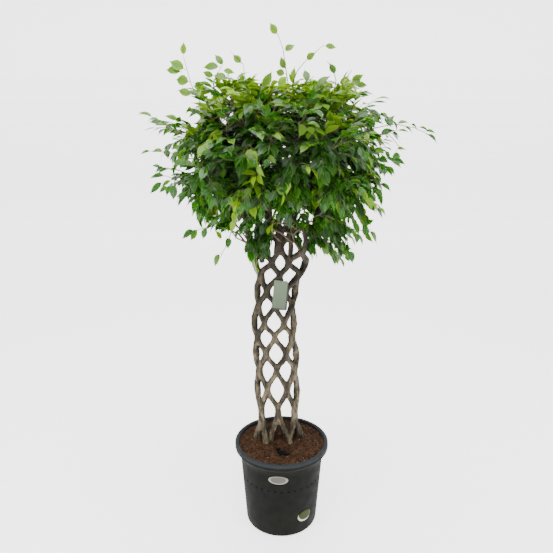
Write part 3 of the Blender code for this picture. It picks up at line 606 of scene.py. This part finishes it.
class FigHead(bpy.types.PropertyGroup):
    """Sizes and colours of the head of leaves."""

    leaf_length: FloatProperty(name="Leaf length", description="Length of a full leaf",
                               default=0.049, unit="LENGTH")
    leaf_width: FloatProperty(name="Leaf width", description="Width of a full leaf",
                              default=0.0240, unit="LENGTH")
    outer_twigs: IntProperty(name="Outer twigs", description="Leafy twigs at the outside",
                             default=640, min=1)
    inner_twigs: IntProperty(name="Inner twigs", description="Leafy twigs inside the head",
                             default=300, min=1)
    seed: IntProperty(name="Seed", description="Start of the random draws and of the noise",
                      default=7, min=1)
    # Painted light and shade: besides age, the darker colours stand for leaves shaded inside the head
    # and the lighter ones for leaves lit at its top and outside.
    old_and_shaded_colour: FloatVectorProperty(name="Old leaf", description="Darkest leaves",
                                    default=(0.0010, 0.0145, 0.0012), subtype="COLOR")
    grown_colour: FloatVectorProperty(name="Grown leaf", description="Most leaves",
                                      default=(0.0082, 0.047, 0.0028), subtype="COLOR")
    fresh_and_lit_colour: FloatVectorProperty(name="Fresh leaf", description="Leaves near the outside",
                                      default=(0.088, 0.210, 0.004), subtype="COLOR")
    young_and_lit_colour: FloatVectorProperty(name="Young leaf", description="Newest leaves",
                                      default=(0.205, 0.390, 0.004), subtype="COLOR")
    rib_colour: FloatVectorProperty(name="Rib", description="Colour of a leaf's ribs",
                                    default=(0.120, 0.230, 0.040), subtype="COLOR")


class FigPaper(bpy.types.PropertyGroup):
    """Sizes and colours of the hanging card and the labels."""

    corner: FloatProperty(name="Card corner", description="Rounding of the card's corners",
                          default=0.0020, unit="LENGTH")
    bow: FloatProperty(name="Card bow", description="How far the card's middle bows out",
                       default=0.0012, unit="LENGTH")
    card_colour: FloatVectorProperty(name="Card", description="Colour of the card",
                                     default=(0.112, 0.150, 0.092), subtype="COLOR")
    oval_colour: FloatVectorProperty(name="Oval label", description="Colour of the oval label",
                                     default=(0.250, 0.238, 0.200), subtype="COLOR")
    green_colour: FloatVectorProperty(name="Green label", description="Colour of the green label",
                                      default=(0.017, 0.025, 0.0003), subtype="COLOR")


# Pot and soil


def pot_outer(height):
    """Outer radius of the pot's tapered wall."""
    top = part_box("pot")[1].z - NECK_DROP
    return BASE_RADIUS + (NECK_RADIUS - BASE_RADIUS) * height / top


def build_pot(sizes):
    """The pot as one turned wall with a rolled lip, and its ring of dimples."""
    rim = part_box("pot")[1]
    neck = rim.z - NECK_DROP
    band = 0.0048
    around = max(sizes.dimples, 1) * 3
    corners = [
        (0.0, POT_FLOOR, 0),
        (BASE_RADIUS - 0.012, POT_FLOOR, 0.004),
        (pot_outer(0.016) - POT_WALL, 0.016, 0.004),
        (NECK_RADIUS - POT_WALL, neck, 0.006),
        (rim.x - LIP_WIDTH, rim.z, 0.0042),
        (rim.x, rim.z, 0.0055),
        (rim.x, rim.z - 0.020, 0.0045),
        (NECK_RADIUS + 0.006, rim.z - 0.032, 0.005),
        (NECK_RADIUS, neck, 0.008),
        (pot_outer(sizes.dimple_height + band), sizes.dimple_height + band, 0),
        (pot_outer(sizes.dimple_height - band), sizes.dimple_height - band, 0),
        (pot_outer(0.120), 0.120, 0),
        (pot_outer(0.004), 0.0, 0.011),
        (0.0, 0.0, 0),
    ]
    shape = turned(eased(corners), around)
    pits = []
    for face in shape.faces:
        middle = face.calc_center_median()
        if abs(middle.z - sizes.dimple_height) < 0.5 * band and middle.xy.length > 0.14:
            number = math.atan2(middle.x, middle.y) / math.tau * around
            if round(number) % 3 == 0:
                pits.append(face)
    bmesh.ops.inset_individual(shape, faces=pits, thickness=0.0006, depth=0.0)
    bmesh.ops.inset_individual(shape, faces=pits, thickness=0.0005, depth=-sizes.dimple_depth)
    # The pits take the second finish, painted darker as shade.
    for face in pits:
        face.material_index = 1
    piece_from(shape, "pot_shell", "pot", [pot_finish(sizes), dimple_shade_finish()], "pot")


def soil_height(place):
    """The height of the soil's rough surface at a level place."""
    spot = Vector((place.x, place.y, 0.0))
    rise = 0.0030 * noise.noise(spot * 30.0) + 0.0026 * noise.noise(spot * 95.0)
    rise += 0.0016 * noise.noise(spot * 260.0)
    pit = (spot.xy - Vector((0.001, -0.064))).length / 0.022
    return 0.3055 + rise - 0.012 * math.exp(-pit * pit)


def build_soil(sizes):
    """The soil's rough top with its crumbs and fibres, closed down to the pot's floor."""
    draw = random.Random(11)
    edge = NECK_RADIUS - POT_WALL + 0.0085 - FIT
    rings = 52
    profile = [(edge * ring / rings, 0.3055) for ring in range(rings + 1)]
    profile += [(NECK_RADIUS - POT_WALL - FIT, 0.266), (pot_outer(0.016) - POT_WALL - FIT, 0.016),
                (BASE_RADIUS - 0.012 - FIT, POT_FLOOR + FIT), (0.0, POT_FLOOR + FIT)]
    shape = turned([Vector(point) for point in profile], 150)
    for corner in shape.verts:
        if corner.co.z > 0.300:
            corner.co.z = soil_height(corner.co)
    tone = shape.verts.layers.float.new("tone")
    for corner in shape.verts:
        corner[tone] = -1.0
    crumb = bmesh.new()
    bmesh.ops.create_icosphere(crumb, subdivisions=1, radius=1.0)
    for corner in crumb.verts:
        corner.co *= 1.0 + 0.35 * noise.noise(corner.co * 3.1)
    lump = bpy.data.meshes.new("crumb")
    crumb.to_mesh(lump)
    crumb.free()
    for number in range(sizes.crumbs):
        place = across(draw.uniform(0, math.tau)) * (edge - 0.003) * math.sqrt(draw.random())
        size = draw.uniform(0.0009, 0.0027) * (1.6 if draw.random() < 0.08 else 1.0)
        place.z = soil_height(place) + size * 0.3
        turn = Matrix.Rotation(draw.uniform(0, math.tau), 4, draw.choice("XYZ"))
        squash = Matrix.Diagonal((size, size * draw.uniform(0.5, 1.0), size * 0.7, 1.0))
        value = draw.uniform(0.1, 0.85) if draw.random() > 0.010 else 1.0
        add_copy(shape, lump, Matrix.Translation(place) @ turn @ squash, value)
    for x, y, size in ((-0.013, -0.050, 0.011), (0.004, -0.056, 0.010), (-0.011, -0.067, 0.011),
                       (0.006, -0.070, 0.012), (0.018, -0.079, 0.011), (-0.003, -0.080, 0.008)):
        place = Vector((x, y, soil_height(Vector((x, y, 0))) + size * 0.35))
        turn = Matrix.Rotation(size * 900.0, 4, "Z")
        squash = Matrix.Diagonal((size, size * 0.62, size * 0.5, 1.0))
        add_copy(shape, lump, Matrix.Translation(place) @ turn @ squash, 0.0)
    lines = []
    for number in range(sizes.fibres):
        place = across(draw.uniform(0, math.tau)) * (edge - 0.012) * math.sqrt(draw.random())
        along = across(draw.uniform(0, math.tau)) * draw.uniform(0.004, 0.011)
        points = [place - along, place + along.cross(UP) * draw.uniform(-0.4, 0.4), place + along]
        for point in points:
            point.z = soil_height(point) + 0.0006
        lines.append((points, [0.0004, 0.0005, 0.0003]))
    fibres = tubes(lines, 0)
    set_tone(fibres, 0.82)
    shape.from_mesh(fibres)
    piece_from(shape, "soil_top", "soil", [soil_finish(sizes)], "soil")


# Trunk


def net_place(angle, front_height, outward):
    """A point on the oval net: its angle from the front, and its height in the front plane."""
    angle -= read_off(NET_GATHER, front_height) * math.sin(2 * angle)
    half_depth = read_off(NET_HALF_DEPTH, front_height)
    x = read_off(NET_SHIFT, front_height)
    x += (read_off(NET_HALF_WIDTH, front_height) + outward) * math.sin(angle)
    front = NET_BACK - half_depth
    y = NET_BACK - (half_depth + outward) * math.cos(angle)
    share = (y - TILT_LINE_Y) / (front - TILT_LINE_Y)
    front_height -= read_off(NET_SAG, front_height) * math.sin(angle) ** 2
    z = TILT_LINE_Z - (TILT_LINE_Z - front_height) * share
    return Vector((x, y, z))


def stem_place(hand, number, ring, wave):
    """The centre of one stem at a ring, which may lie between two."""
    low = min(int(ring), len(RING_HEIGHTS) - 2)
    height = RING_HEIGHTS[low] + (RING_HEIGHTS[low + 1] - RING_HEIGHTS[low]) * (ring - low)
    turned_by = ring - wave * math.sin(math.tau * ring) / math.tau
    angle = RING_TURN * (2 * number + 1 + hand * turned_by)
    return net_place(angle, height, hand * read_off(WEAVE, height))


def stem_line(hand, number, sizes):
    """Points and radii along one stem of the net, from its root in the soil."""
    angle = RING_TURN * (2 * number + 1 - hand * ROOT_SPLAY)
    points = [net_place(angle, STEM_ROOT, hand * read_off(WEAVE, STEM_ROOT))]
    rings = len(RING_HEIGHTS) - 1
    rows = [0.0] + [step / 8 for step in range(1, rings * 8 + 1)]
    points += [stem_place(hand, number, ring, sizes.wave) for ring in rows]
    radii = []
    for place, ring in zip(points, [-1.0] + rows):
        swell = sizes.graft * max(0.0, math.cos(math.tau * ring)) ** 3 if ring > 0.5 else 0.0
        radius = read_off(STEM_RADIUS, place.z) * (1 + swell)
        radii.append(radius * (1 + 0.12 * noise.noise(place * 22.0 + Vector((number, hand, 0)))))
    return points, radii


def head_reach(way):
    """How far the head's leaves reach from its middle in one direction."""
    lift = math.degrees(math.asin(max(-1.0, min(1.0, way.z))))
    reach = read_off(HEAD_REACH, lift)
    facing = max(0.0, -way.y) ** 2 * max(0.0, min(1.0, -lift / 25.0))
    return reach * (1.0 - 0.26 * facing) * (1.0 + 0.14 * noise.noise(way * 3.3))


def in_reach(place):
    """True for a place inside the CAD's box, or outside it by no more than is spare."""
    limits = zip(CAD_BOX[0], place, CAD_BOX[1], SPARE)
    return all(low - spare < at < high + spare for low, at, high, spare in limits)


def spread_way(number, count, lowest, highest):
    """One of many directions spread evenly between two angles above the level."""
    low, high = math.sin(lowest), math.sin(highest)
    rise = low + (high - low) * (number + 0.5) / count
    turn = GOLDEN_TURN * number
    level = math.sqrt(1 - rise * rise)
    return Vector((level * math.sin(turn), -level * math.cos(turn), rise))


def bent_line(start, end, rise, steps, first, last):
    """Points and radii along a shoot that arches above the straight line."""
    points, radii = [], []
    for step in range(steps + 1):
        t = step / steps
        place = start.lerp(end, t) + UP * rise * math.sin(math.pi * t)
        place += noise.noise_vector(place * 9.0) * 0.008 * math.sin(math.pi * t)
        points.append(place)
        radii.append(first + (last - first) * t)
    return points, radii


class Wood:
    """The limbs and branches of the head, and where a twig can leave them."""

    def __init__(self, sizes, draw):
        self.limbs = []
        self.branches = []
        self.knots = []
        self.limb_knots = []
        rings = len(RING_HEIGHTS) - 1
        for number in range(12):
            hand = 1 if number % 2 else -1
            start = stem_place(hand, number // 2, rings, sizes.wave)
            turn = RING_TURN * (2 * (number // 2) + 1 + hand * rings)
            way = (across(turn + hand * 0.25) + UP * draw.uniform(0.15, 0.9)).normalized()
            end = HEAD_MIDDLE + way * head_reach(way) * draw.uniform(0.52, 0.68)
            self.limbs.append(bent_line(start, end, 0.035, 9, 0.0098, 0.0052))
            self.note(self.limbs[-1], 3)
            points, radii = self.limbs[-1]
            self.limb_knots += list(zip(points[:5], radii[:5]))
        for points in SEEN_LIMBS:
            radii = [0.0102 - 0.0006 * number for number in range(len(points))]
            self.limbs.append(([Vector(point) for point in points], radii))
        for points in SEEN_TWIGS:
            radii = [0.0038 - 0.0005 * number for number in range(len(points))]
            self.branches.append(([Vector(point) for point in points], radii))
        for number in range(64):
            way = spread_way(number, 64, math.radians(-30), math.radians(85))
            end = HEAD_MIDDLE + way * head_reach(way) * draw.uniform(0.66, 0.80)
            self.branches.append(self.reach_out(end, 0.10, 0.0046, 0.0022, 0.02, 7))
        for line in list(self.branches):
            self.note(line, 2)

    def note(self, line, skip):
        points, radii = line
        self.knots += list(zip(points[skip:], radii[skip:]))

    def reach_out(self, end, least, first, last, rise, steps):
        """A line to an end from the nearest knot that lies nearer to the head's middle."""
        far = (end - HEAD_MIDDLE).length
        best, start, thick = 9.0, None, first
        for place, radius in self.knots:
            gap = (end - place).length
            if least < gap < best and (place - HEAD_MIDDLE).length < far - least * 0.4:
                best, start, thick = gap, place, radius
        if start is None:
            start = HEAD_MIDDLE
        return bent_line(start, end, rise, steps, min(first, thick), last)


def build_trunk(sizes, wood):
    """The net of stems and the limbs above it, grown together, with knobbly bark."""
    lines = [stem_line(hand, number, sizes) for hand in (1, -1) for number in range(6)]
    mesh = tubes(lines + wood.limbs, 2)
    grown = bpy.data.objects.new("grown", mesh)
    bpy.context.scene.collection.objects.link(grown)
    fused = grown.modifiers.new("fused", "REMESH")
    fused.mode = "VOXEL"
    fused.voxel_size = 0.0034
    eased_off = grown.modifiers.new("eased", "SMOOTH")
    eased_off.factor = 0.6
    eased_off.iterations = 5
    bpy.context.view_layer.update()
    seen = grown.evaluated_get(bpy.context.evaluated_depsgraph_get())
    mesh = bpy.data.meshes.new_from_object(seen)
    bpy.data.objects.remove(grown)
    shape = bmesh.new()
    shape.from_mesh(mesh)
    shape.normal_update()
    for corner in shape.verts:
        place = corner.co
        knob = noise.noise(place * 48.0) + 0.35 * noise.noise(place * 120.0)
        ring = max(0.0, noise.noise(Vector((place.x * 25, place.y * 25, place.z * 95)))) * 0.7
        corner.co = place + corner.normal * sizes.knobs * (knob + ring)
    piece_from(shape, "woven_trunk", "bark", [bark_finish(sizes)], "trunk")


# Head


def leaf_mesh(sizes, fold, droop, curl, wave):
    """One leaf on its stalk: a folded, drooping ovate blade with a drawn-out tip."""
    length, width = sizes.leaf_length, sizes.leaf_width
    stalk = length * 0.16
    shape = bmesh.new()
    bmesh.ops.create_grid(shape, x_segments=2, y_segments=6, size=1.0)
    marks = shape.loops.layers.uv.new("leaf")
    flat = {}
    for corner in shape.verts:
        station = round((corner.co.y + 1) * 3)
        along, half = LEAF_OUTLINE[station]
        flat[corner] = (corner.co.x, along)
        aside = corner.co.x * half * width / 2
        reach = along * length
        lift = abs(aside) * fold - droop * length * along * along
        lift += wave * length * corner.co.x ** 2 * math.sin(along * 9.0 + corner.co.x)
        bend = curl * length * along * along
        corner.co = (aside + bend, stalk + reach * (1 - 0.25 * droop * along), lift)
    for face in shape.faces:
        for loop in face.loops:
            loop[marks].uv = flat[loop.vert]
    inner = [corner for corner in shape.verts if not corner.is_boundary]
    under = bmesh.ops.duplicate(shape, geom=list(shape.verts) + list(shape.edges)
                                + list(shape.faces))
    below = [item for item in under["geom"] if isinstance(item, bmesh.types.BMFace)]
    bmesh.ops.reverse_faces(shape, faces=below)
    for corner in inner:
        corner.co.z += 0.0005
    bmesh.ops.remove_doubles(shape, verts=shape.verts, dist=1e-6)
    rim = [edge for edge in shape.edges if edge.calc_face_angle(0.0) > 2.0]
    for edge in rim:
        edge.smooth = False
    base = Vector((0.0, stalk * 0.5, 0.0))
    turn = Matrix.Translation(base) @ Matrix.Rotation(math.pi / 2, 4, "X")
    bmesh.ops.create_cone(shape, segments=3, radius1=0.0007, radius2=0.0008, depth=stalk * 1.2,
                          matrix=turn)
    mesh = bpy.data.meshes.new("leaf")
    shape.to_mesh(mesh)
    shape.free()
    return mesh


class Foliage:
    """The leaves of the head, gathered in one bmesh for each leafy branch of the CAD."""

    def __init__(self, sizes, draw):
        self.draw = draw
        self.full_length = sizes.leaf_length * 1.12
        self.kinds = [leaf_mesh(sizes, draw.uniform(0.15, 0.55), droop, draw.uniform(-0.1, 0.1),
                                draw.uniform(0.0, 0.012))
                      for droop in (0.04, 0.12, 0.20, 0.28, 0.38) for _ in range(2)]
        self.shares = [bmesh.new() for _ in range(6)]
        self.twigs = []

    def leaf(self, root, way, face, size, tone, breadth=1.0):
        """One leaf at a root, pointing one way, unless it would reach too far out."""
        way = way.normalized()
        tip = root + way * size * self.full_length
        if not in_reach(tip):
            return
        side = way.cross(face).normalized()
        turn = Matrix((side, way, side.cross(way))).transposed().to_4x4()
        wide = size * breadth * self.draw.uniform(0.88, 1.12)
        spot = Matrix.Translation(root) @ turn @ Matrix.Diagonal((wide, size, size, 1.0))
        from_front = math.degrees(math.atan2(root.x - HEAD_MIDDLE.x, HEAD_MIDDLE.y - root.y))
        share = int(((from_front - 15.0) % 360.0) // 60.0)
        add_copy(self.shares[share], self.draw.choice(self.kinds), spot, tone)

    def dress(self, line, count, start, freshness_and_light, hang):
        """Leaves set by turns along both sides of a twig, and one at its end."""
        points, _ = line
        self.twigs.append(line)
        last = len(points) - 1
        flip = self.draw.choice((-1, 1))
        for number in range(count + 1):
            t = start + (1 - start) * number / count
            low = min(int(t * last), last - 1)
            root = points[low].lerp(points[low + 1], t * last - low)
            along = (points[low + 1] - points[low]).normalized()
            out = (root - HEAD_MIDDLE).normalized()
            side = along.cross(UP)
            side = side.normalized() * flip if side.length > 0.1 else out.cross(UP) * flip
            flip = -flip
            stray = Vector([self.draw.uniform(-1, 1) for _ in range(3)])
            tilt = Vector([self.draw.uniform(-1, 1) for _ in range(3)])
            drop = hang * self.draw.uniform(0.1, 1.5)
            way = along * 0.75 + side * self.draw.uniform(0.25, 0.95) + stray * 0.25 - UP * drop
            if number == count:
                way = along + stray * 0.25 - UP * drop * 0.6
            face = UP * 0.80 + out * 0.20 + tilt * 0.65
            # The tone rises towards the twig's tip for younger leaves; the twig's own tone also
            # carries painted light and shade.
            age_and_light = freshness_and_light + 0.14 * t + self.draw.gauss(0.0, 0.13)
            size = self.draw.uniform(0.70, 1.18) * (1.0 - 0.18 * t)
            self.leaf(root, way, face, size, max(0.0, min(1.0, age_and_light)))

    def seen_shoot(self, back, line, leaves):
        """A shoot whose leaves each stand where they are seen to stand."""
        points = [Vector((x, back, z)) for x, z in line]
        base = points[0] + (HEAD_MIDDLE - points[0]) * 0.25
        self.twigs.append(([base, *points], [0.0019, 0.0016, 0.0014, 0.0011, 0.0008]))
        for x, z, tip_x, tip_z in leaves:
            root = Vector((x, back, z))
            way = Vector((tip_x - x, self.draw.uniform(-0.012, 0.012), tip_z - z))
            high = z > 1.48
            lean = self.draw.uniform(-0.2, 0.5) if high else self.draw.uniform(0.9, 2.2)
            face = Vector((self.draw.uniform(-0.3, 0.3), -1.0, lean))
            # Leaves high on the shoots get lighter tones, partly for their youth and partly as
            # painted light from above.
            tone = self.draw.uniform(0.50, 0.78) if high else self.draw.uniform(0.30, 0.62)
            size = max(0.72, min(1.08, way.length / self.full_length))
            self.leaf(root, way, face, size, tone, 1.12)


def build_head(sizes, wood, draw):
    """Twigs and leaves of the head, and the shoots that stand out of it."""
    foliage = Foliage(sizes, draw)
    for count, inside, lowest in ((sizes.outer_twigs, 1.0, -48.0), (sizes.inner_twigs, 0.72, -26.0)):
        for number in range(count):
            way = spread_way(number, count, math.radians(lowest), math.radians(88))
            way = (way + noise.noise_vector(way * 41.0) * 0.14).normalized()
            depth = inside * max(0.68, min(1.19 - 0.12 * max(0.0, way.z), draw.gauss(0.92, 0.13)))
            end = HEAD_MIDDLE + way * (head_reach(way) * depth - 0.025)
            while not in_reach(end):
                end = end.lerp(HEAD_MIDDLE, 0.05)
            patch = noise.noise(way * 4.7 + Vector((3, 1, 8)))
            if inside == 1.0 and patch < -0.28:
                continue
            if abs(end.x + 0.01) < 0.15 and end.z < 1.180 - 0.5 * max(0.0, end.y):
                continue
            line = wood.reach_out(end, 0.07, 0.0016, 0.0008, 0.012, 6)
            high = max(0.0, way.z)
            low = max(0.0, -way.z)
            # Painted light and shade on top of the leaves' age: twigs high in the head and far out
            # get lighter tones, inner twigs darker ones.
            freshness_and_light = 0.16 + 0.66 * high ** 1.5 * inside * depth + 0.22 * patch
            freshness_and_light += 0.45 if draw.random() < 0.08 else 0.0
            freshness_and_light -= 0.26 if inside < 1.0 else 0.0
            foliage.dress(line, 8, 0.22, freshness_and_light, 0.34 - 0.24 * high + 0.55 * low)
    for x, y, z, freshness_and_light in TUFTS:
        line = wood.reach_out(Vector((x, y, z)), 0.05, 0.0020, 0.0009, 0.02, 7)
        foliage.dress(line, 3 if freshness_and_light > 0.7 else 7, 0.5, freshness_and_light, 0.75)
    for number in range(34):
        place, thick = wood.limb_knots[draw.randrange(len(wood.limb_knots))]
        way = across(draw.uniform(0, math.tau)) + UP * draw.uniform(-0.3, 1.0)
        line = bent_line(place, place + way.normalized() * draw.uniform(0.05, 0.13), 0.012, 6,
                         min(thick * 0.4, 0.0030), 0.0008)
        wood.branches.append(line)
    for start, end, count in OTHER_SHOOTS:
        line = bent_line(Vector(start), Vector(end), 0.012, 8, 0.0017, 0.0009)
        foliage.dress(line, count + 1, 0.25, 0.5, 0.25)
    for back, line, leaves in SEEN_SHOOTS:
        foliage.seen_shoot(back, line, leaves)
    leaf = leaf_finish(sizes)
    for number, share in enumerate(foliage.shares, 1):
        piece_from(share, "leaves_%d" % number, "leaf", [leaf], "branch_%d" % number)
    shape = bmesh.new()
    branches = tubes(wood.branches, 1)
    set_tone(branches, 0.0)
    shape.from_mesh(branches)
    twigs = tubes(foliage.twigs, 0)
    set_tone(twigs, 0.40)
    shape.from_mesh(twigs)
    piece_from(shape, "twigs", "bark", [twig_finish()])


# Card, loop and labels


def card_turn():
    """The card's own axes as a matrix: across, into its face and up."""
    lean = Matrix.Rotation(math.radians(5), 3, "Y") @ Matrix.Rotation(math.radians(4), 3, "X")
    return lean.to_4x4()


def build_card(sizes):
    """The hanging card with rounded corners and a hole, and the thread it hangs by."""
    width, height, thick = 0.046, 0.100, 0.0008
    top = Vector((-0.0030, -0.0190, 0.9235))
    hole = Vector((0.0, 0.0, -0.0065))
    shape = bmesh.new()
    bmesh.ops.create_grid(shape, x_segments=10, y_segments=22, size=0.5)
    bmesh.ops.transform(shape, matrix=Matrix.Diagonal((width, height, 1.0, 1.0)), verts=shape.verts)
    bmesh.ops.transform(shape, matrix=Matrix.Translation((0, -height / 2, 0)), verts=shape.verts)
    near = min(shape.verts, key=lambda corner: (corner.co - Vector((0, hole.z, 0))).length)
    near.co = Vector((0, hole.z, 0))
    bmesh.ops.bevel(shape, geom=[near], offset=0.0024, segments=3, affect="VERTICES",
                    profile=0.5, material=-1)
    middle = min(shape.faces, key=lambda face: (face.calc_center_median()
                                                - Vector((0, hole.z, 0))).length)
    bmesh.ops.delete(shape, geom=[middle], context="FACES")
    ends = [corner for corner in shape.verts if len(corner.link_edges) == 2]
    bmesh.ops.bevel(shape, geom=ends, offset=sizes.corner, segments=3, affect="VERTICES",
                    profile=0.5, material=-1)
    for corner in shape.verts:
        corner.co.z += sizes.bow * (1 - (2 * corner.co.x / width) ** 2)
    bmesh.ops.solidify(shape, geom=list(shape.faces), thickness=thick)
    bmesh.ops.recalc_face_normals(shape, faces=shape.faces)
    # Painted shade: a second copy of the card, a little behind, lower and to the right, takes the
    # darker finish.
    below = Matrix.Translation((0.0030, -0.0062, -0.0014)) @ Matrix.Rotation(0.030, 4, "Z")
    back = bmesh.ops.duplicate(shape, geom=list(shape.verts) + list(shape.edges)
                               + list(shape.faces))["geom"]
    bmesh.ops.transform(shape, matrix=below,
                        verts=[item for item in back if isinstance(item, bmesh.types.BMVert)])
    for item in back:
        if isinstance(item, bmesh.types.BMFace):
            item.material_index = 1
    turn = Matrix.Translation(top) @ card_turn() @ Matrix.Rotation(math.pi / 2, 4, "X")
    bmesh.ops.transform(shape, matrix=turn, verts=shape.verts)
    # The second finish is the card's own at about a fifth of its brightness: painted shade.
    looks = [card_finish(sizes, 1.0), card_finish(sizes, 0.22)]
    card = piece_from(shape, "card", "card", looks, "hang_tag")
    for face in card.data.polygons:
        face.use_smooth = False
    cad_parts["tag_loop"].data.materials.clear()
    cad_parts["tag_loop"].data.materials.append(thread_finish())


def build_label(name, look, place, nodes):
    """An oval label that follows the pot's wall: height, angle, half sizes, tilt."""
    height, angle, half_wide, half_high, tilt = place
    shape = bmesh.new()
    bmesh.ops.create_circle(shape, cap_ends=True, cap_tris=True, segments=48, radius=1.0)
    for _ in range(2):
        spokes = [edge for edge in shape.edges if not edge.is_boundary]
        bmesh.ops.subdivide_edges(shape, edges=spokes, cuts=1)
    bmesh.ops.triangulate(shape, faces=shape.faces)
    marks = shape.loops.layers.uv.new("label")
    for face in shape.faces:
        for loop in face.loops:
            loop[marks].uv = loop.vert.co.xy
    grown = bmesh.ops.extrude_face_region(shape, geom=list(shape.faces))
    tops = {item for item in grown["geom"] if isinstance(item, bmesh.types.BMVert)}
    for corner in shape.verts:
        wide = corner.co.x * half_wide
        high = corner.co.y * half_high
        along = wide * math.cos(tilt) - high * math.sin(tilt)
        z = height + wide * math.sin(tilt) + high * math.cos(tilt)
        radius = pot_outer(z) + FIT + (0.0006 if corner in tops else 0.0)
        turn = angle + along / pot_outer(height)
        corner.co = across(turn) * radius + UP * z
    bmesh.ops.recalc_face_normals(shape, faces=shape.faces)
    piece_from(shape, name, name.split("_")[0], [look], nodes)


# Stage


def build_stage():
    """A pale floor swept up behind the plant, soft lights, and the camera."""
    shape = bmesh.new()
    path = eased([(-40.0, 0.0, 0), (9.0, 0.0, 3.0), (9.0, 9.0, 0)], 12)
    knots = [shape.verts.new((-40.0, y, z)) for y, z in path]
    runs = [shape.edges.new(pair) for pair in zip(knots, knots[1:])]
    swept = bmesh.ops.extrude_edge_only(shape, edges=runs)
    moved = [item for item in swept["geom"] if isinstance(item, bmesh.types.BMVert)]
    bmesh.ops.translate(shape, vec=(80.0, 0, 0), verts=moved)
    bmesh.ops.recalc_face_normals(shape, faces=shape.faces)
    mesh = bpy.data.meshes.new("studio_floor")
    shape.to_mesh(mesh)
    shape.free()
    paper = Finish("studio paper", 0.9, (0.92, 0.92, 0.92), Specular_IOR_Level=0.1,
                   Emission_Color=(1.0, 1.0, 1.0, 1.0))
    place = paper.add("SeparateXYZ", {"Vector": paper.places})
    behind = paper.stretch(place.outputs["Y"], -14.0, -1.0, 0.0, 2.2)
    aside = paper.add("Math", {0: place.outputs["X"]}, operation="ABSOLUTE").outputs[0]
    glow = paper.add("Math", {0: behind, 1: paper.stretch(aside, 26.0, 5.0)}, operation="MULTIPLY")
    paper.paint("Emission Strength", glow.outputs[0])
    mesh.materials.append(paper.look)
    floor = bpy.data.objects.new("studio_floor", mesh)
    bpy.context.scene.collection.objects.link(floor)
    world = bpy.data.worlds.new("studio")
    world.use_nodes = True
    world.node_tree.nodes["Background"].inputs["Color"].default_value = (1.0, 1.0, 1.0, 1.0)
    world.node_tree.nodes["Background"].inputs["Strength"].default_value = 0.55
    bpy.context.scene.world = world
    for name, place, size, power in (("top", (0.0, -0.6, 3.6), 2.4, 150.0),
                                     ("left", (-2.6, -2.6, 2.6), 2.0, 60.0),
                                     ("right", (2.8, -2.0, 2.0), 2.0, 30.0)):
        lamp = bpy.data.lights.new(name, "AREA")
        lamp.size = size
        lamp.energy = power
        light = bpy.data.objects.new(name, lamp)
        light.location = place
        aim = Vector((0, 0, 0.9)) - light.location
        light.rotation_euler = aim.to_track_quat("-Z", "Y").to_euler()
        bpy.context.scene.collection.objects.link(light)
    lens = bpy.data.cameras.new("camera")
    lens.lens = 34.5
    lens.sensor_width = 36.0
    camera = bpy.data.objects.new("camera", lens)
    camera.location = (-0.0185, -1.735, 1.385)
    camera.rotation_euler = (math.radians(90 - 14.6), 0.0, 0.0)
    bpy.context.scene.collection.objects.link(camera)
    bpy.context.scene.camera = camera


# Operators


class FIG_OT_stage(bpy.types.Operator):
    """Set up the floor, the lights and the camera"""

    bl_idname = "fig.stage"
    bl_label = "Stage"

    def execute(self, context):
        build_stage()
        return {"FINISHED"}


class FIG_OT_pot(bpy.types.Operator):
    """Make the pot"""

    bl_idname = "fig.pot"
    bl_label = "Pot"

    def execute(self, context):
        build_pot(context.scene.fig_pot)
        return {"FINISHED"}


class FIG_OT_soil(bpy.types.Operator):
    """Make the soil in the pot"""

    bl_idname = "fig.soil"
    bl_label = "Soil"

    def execute(self, context):
        build_soil(context.scene.fig_pot)
        return {"FINISHED"}


class FIG_OT_plant(bpy.types.Operator):
    """Make the trunk and the head, which grow from one set of limbs"""

    bl_idname = "fig.plant"
    bl_label = "Trunk and head"

    def execute(self, context):
        draw = random.Random(context.scene.fig_head.seed)
        noise.seed_set(context.scene.fig_head.seed)
        wood = Wood(context.scene.fig_trunk, draw)
        build_trunk(context.scene.fig_trunk, wood)
        build_head(context.scene.fig_head, wood, draw)
        return {"FINISHED"}


class FIG_OT_card(bpy.types.Operator):
    """Make the hanging card and finish its thread"""

    bl_idname = "fig.card"
    bl_label = "Card"

    def execute(self, context):
        build_card(context.scene.fig_paper)
        return {"FINISHED"}


class FIG_OT_labels(bpy.types.Operator):
    """Make the two bare labels on the pot"""

    bl_idname = "fig.labels"
    bl_label = "Labels"

    def execute(self, context):
        sizes = context.scene.fig_paper
        build_label("oval_sticker", oval_finish(sizes),
                    (0.2466, math.radians(-4.9), 0.035, 0.0165, 0.0), "oval_label")
        build_label("green_sticker", green_finish(sizes),
                    (0.0755, math.radians(37.2), 0.029, 0.0233, math.radians(-5)), "green_label")
        return {"FINISHED"}


class FIG_PT_panel(bpy.types.Panel):
    """Lists the operators and the properties"""

    bl_idname = "FIG_PT_panel"
    bl_label = "Potted weeping fig"
    bl_space_type = "VIEW_3D"
    bl_region_type = "UI"
    bl_category = "Fig"

    def draw(self, context):
        for name in STEPS:
            self.layout.operator("fig." + name)
        for group in GROUPS:
            box = self.layout.box()
            sizes = getattr(context.scene, group)
            for name in sizes.__annotations__:
                box.prop(sizes, name)


STEPS = ("stage", "pot", "soil", "plant", "card", "labels")
GROUPS = {"fig_pot": FigPot, "fig_trunk": FigTrunk, "fig_head": FigHead, "fig_paper": FigPaper}
CLASSES = (*GROUPS.values(), FIG_OT_stage, FIG_OT_pot, FIG_OT_soil, FIG_OT_plant, FIG_OT_card,
           FIG_OT_labels, FIG_PT_panel)


def register():
    for kind in CLASSES:
        bpy.utils.register_class(kind)
    for name, kind in GROUPS.items():
        setattr(bpy.types.Scene, name, PointerProperty(type=kind))


def unregister():
    for name in GROUPS:
        delattr(bpy.types.Scene, name)
    for kind in reversed(CLASSES):
        bpy.utils.unregister_class(kind)


def main():
    """Build everything in order."""
    register()
    for name in STEPS:
        getattr(bpy.ops.fig, name)()


if __name__ == "__main__":
    main()
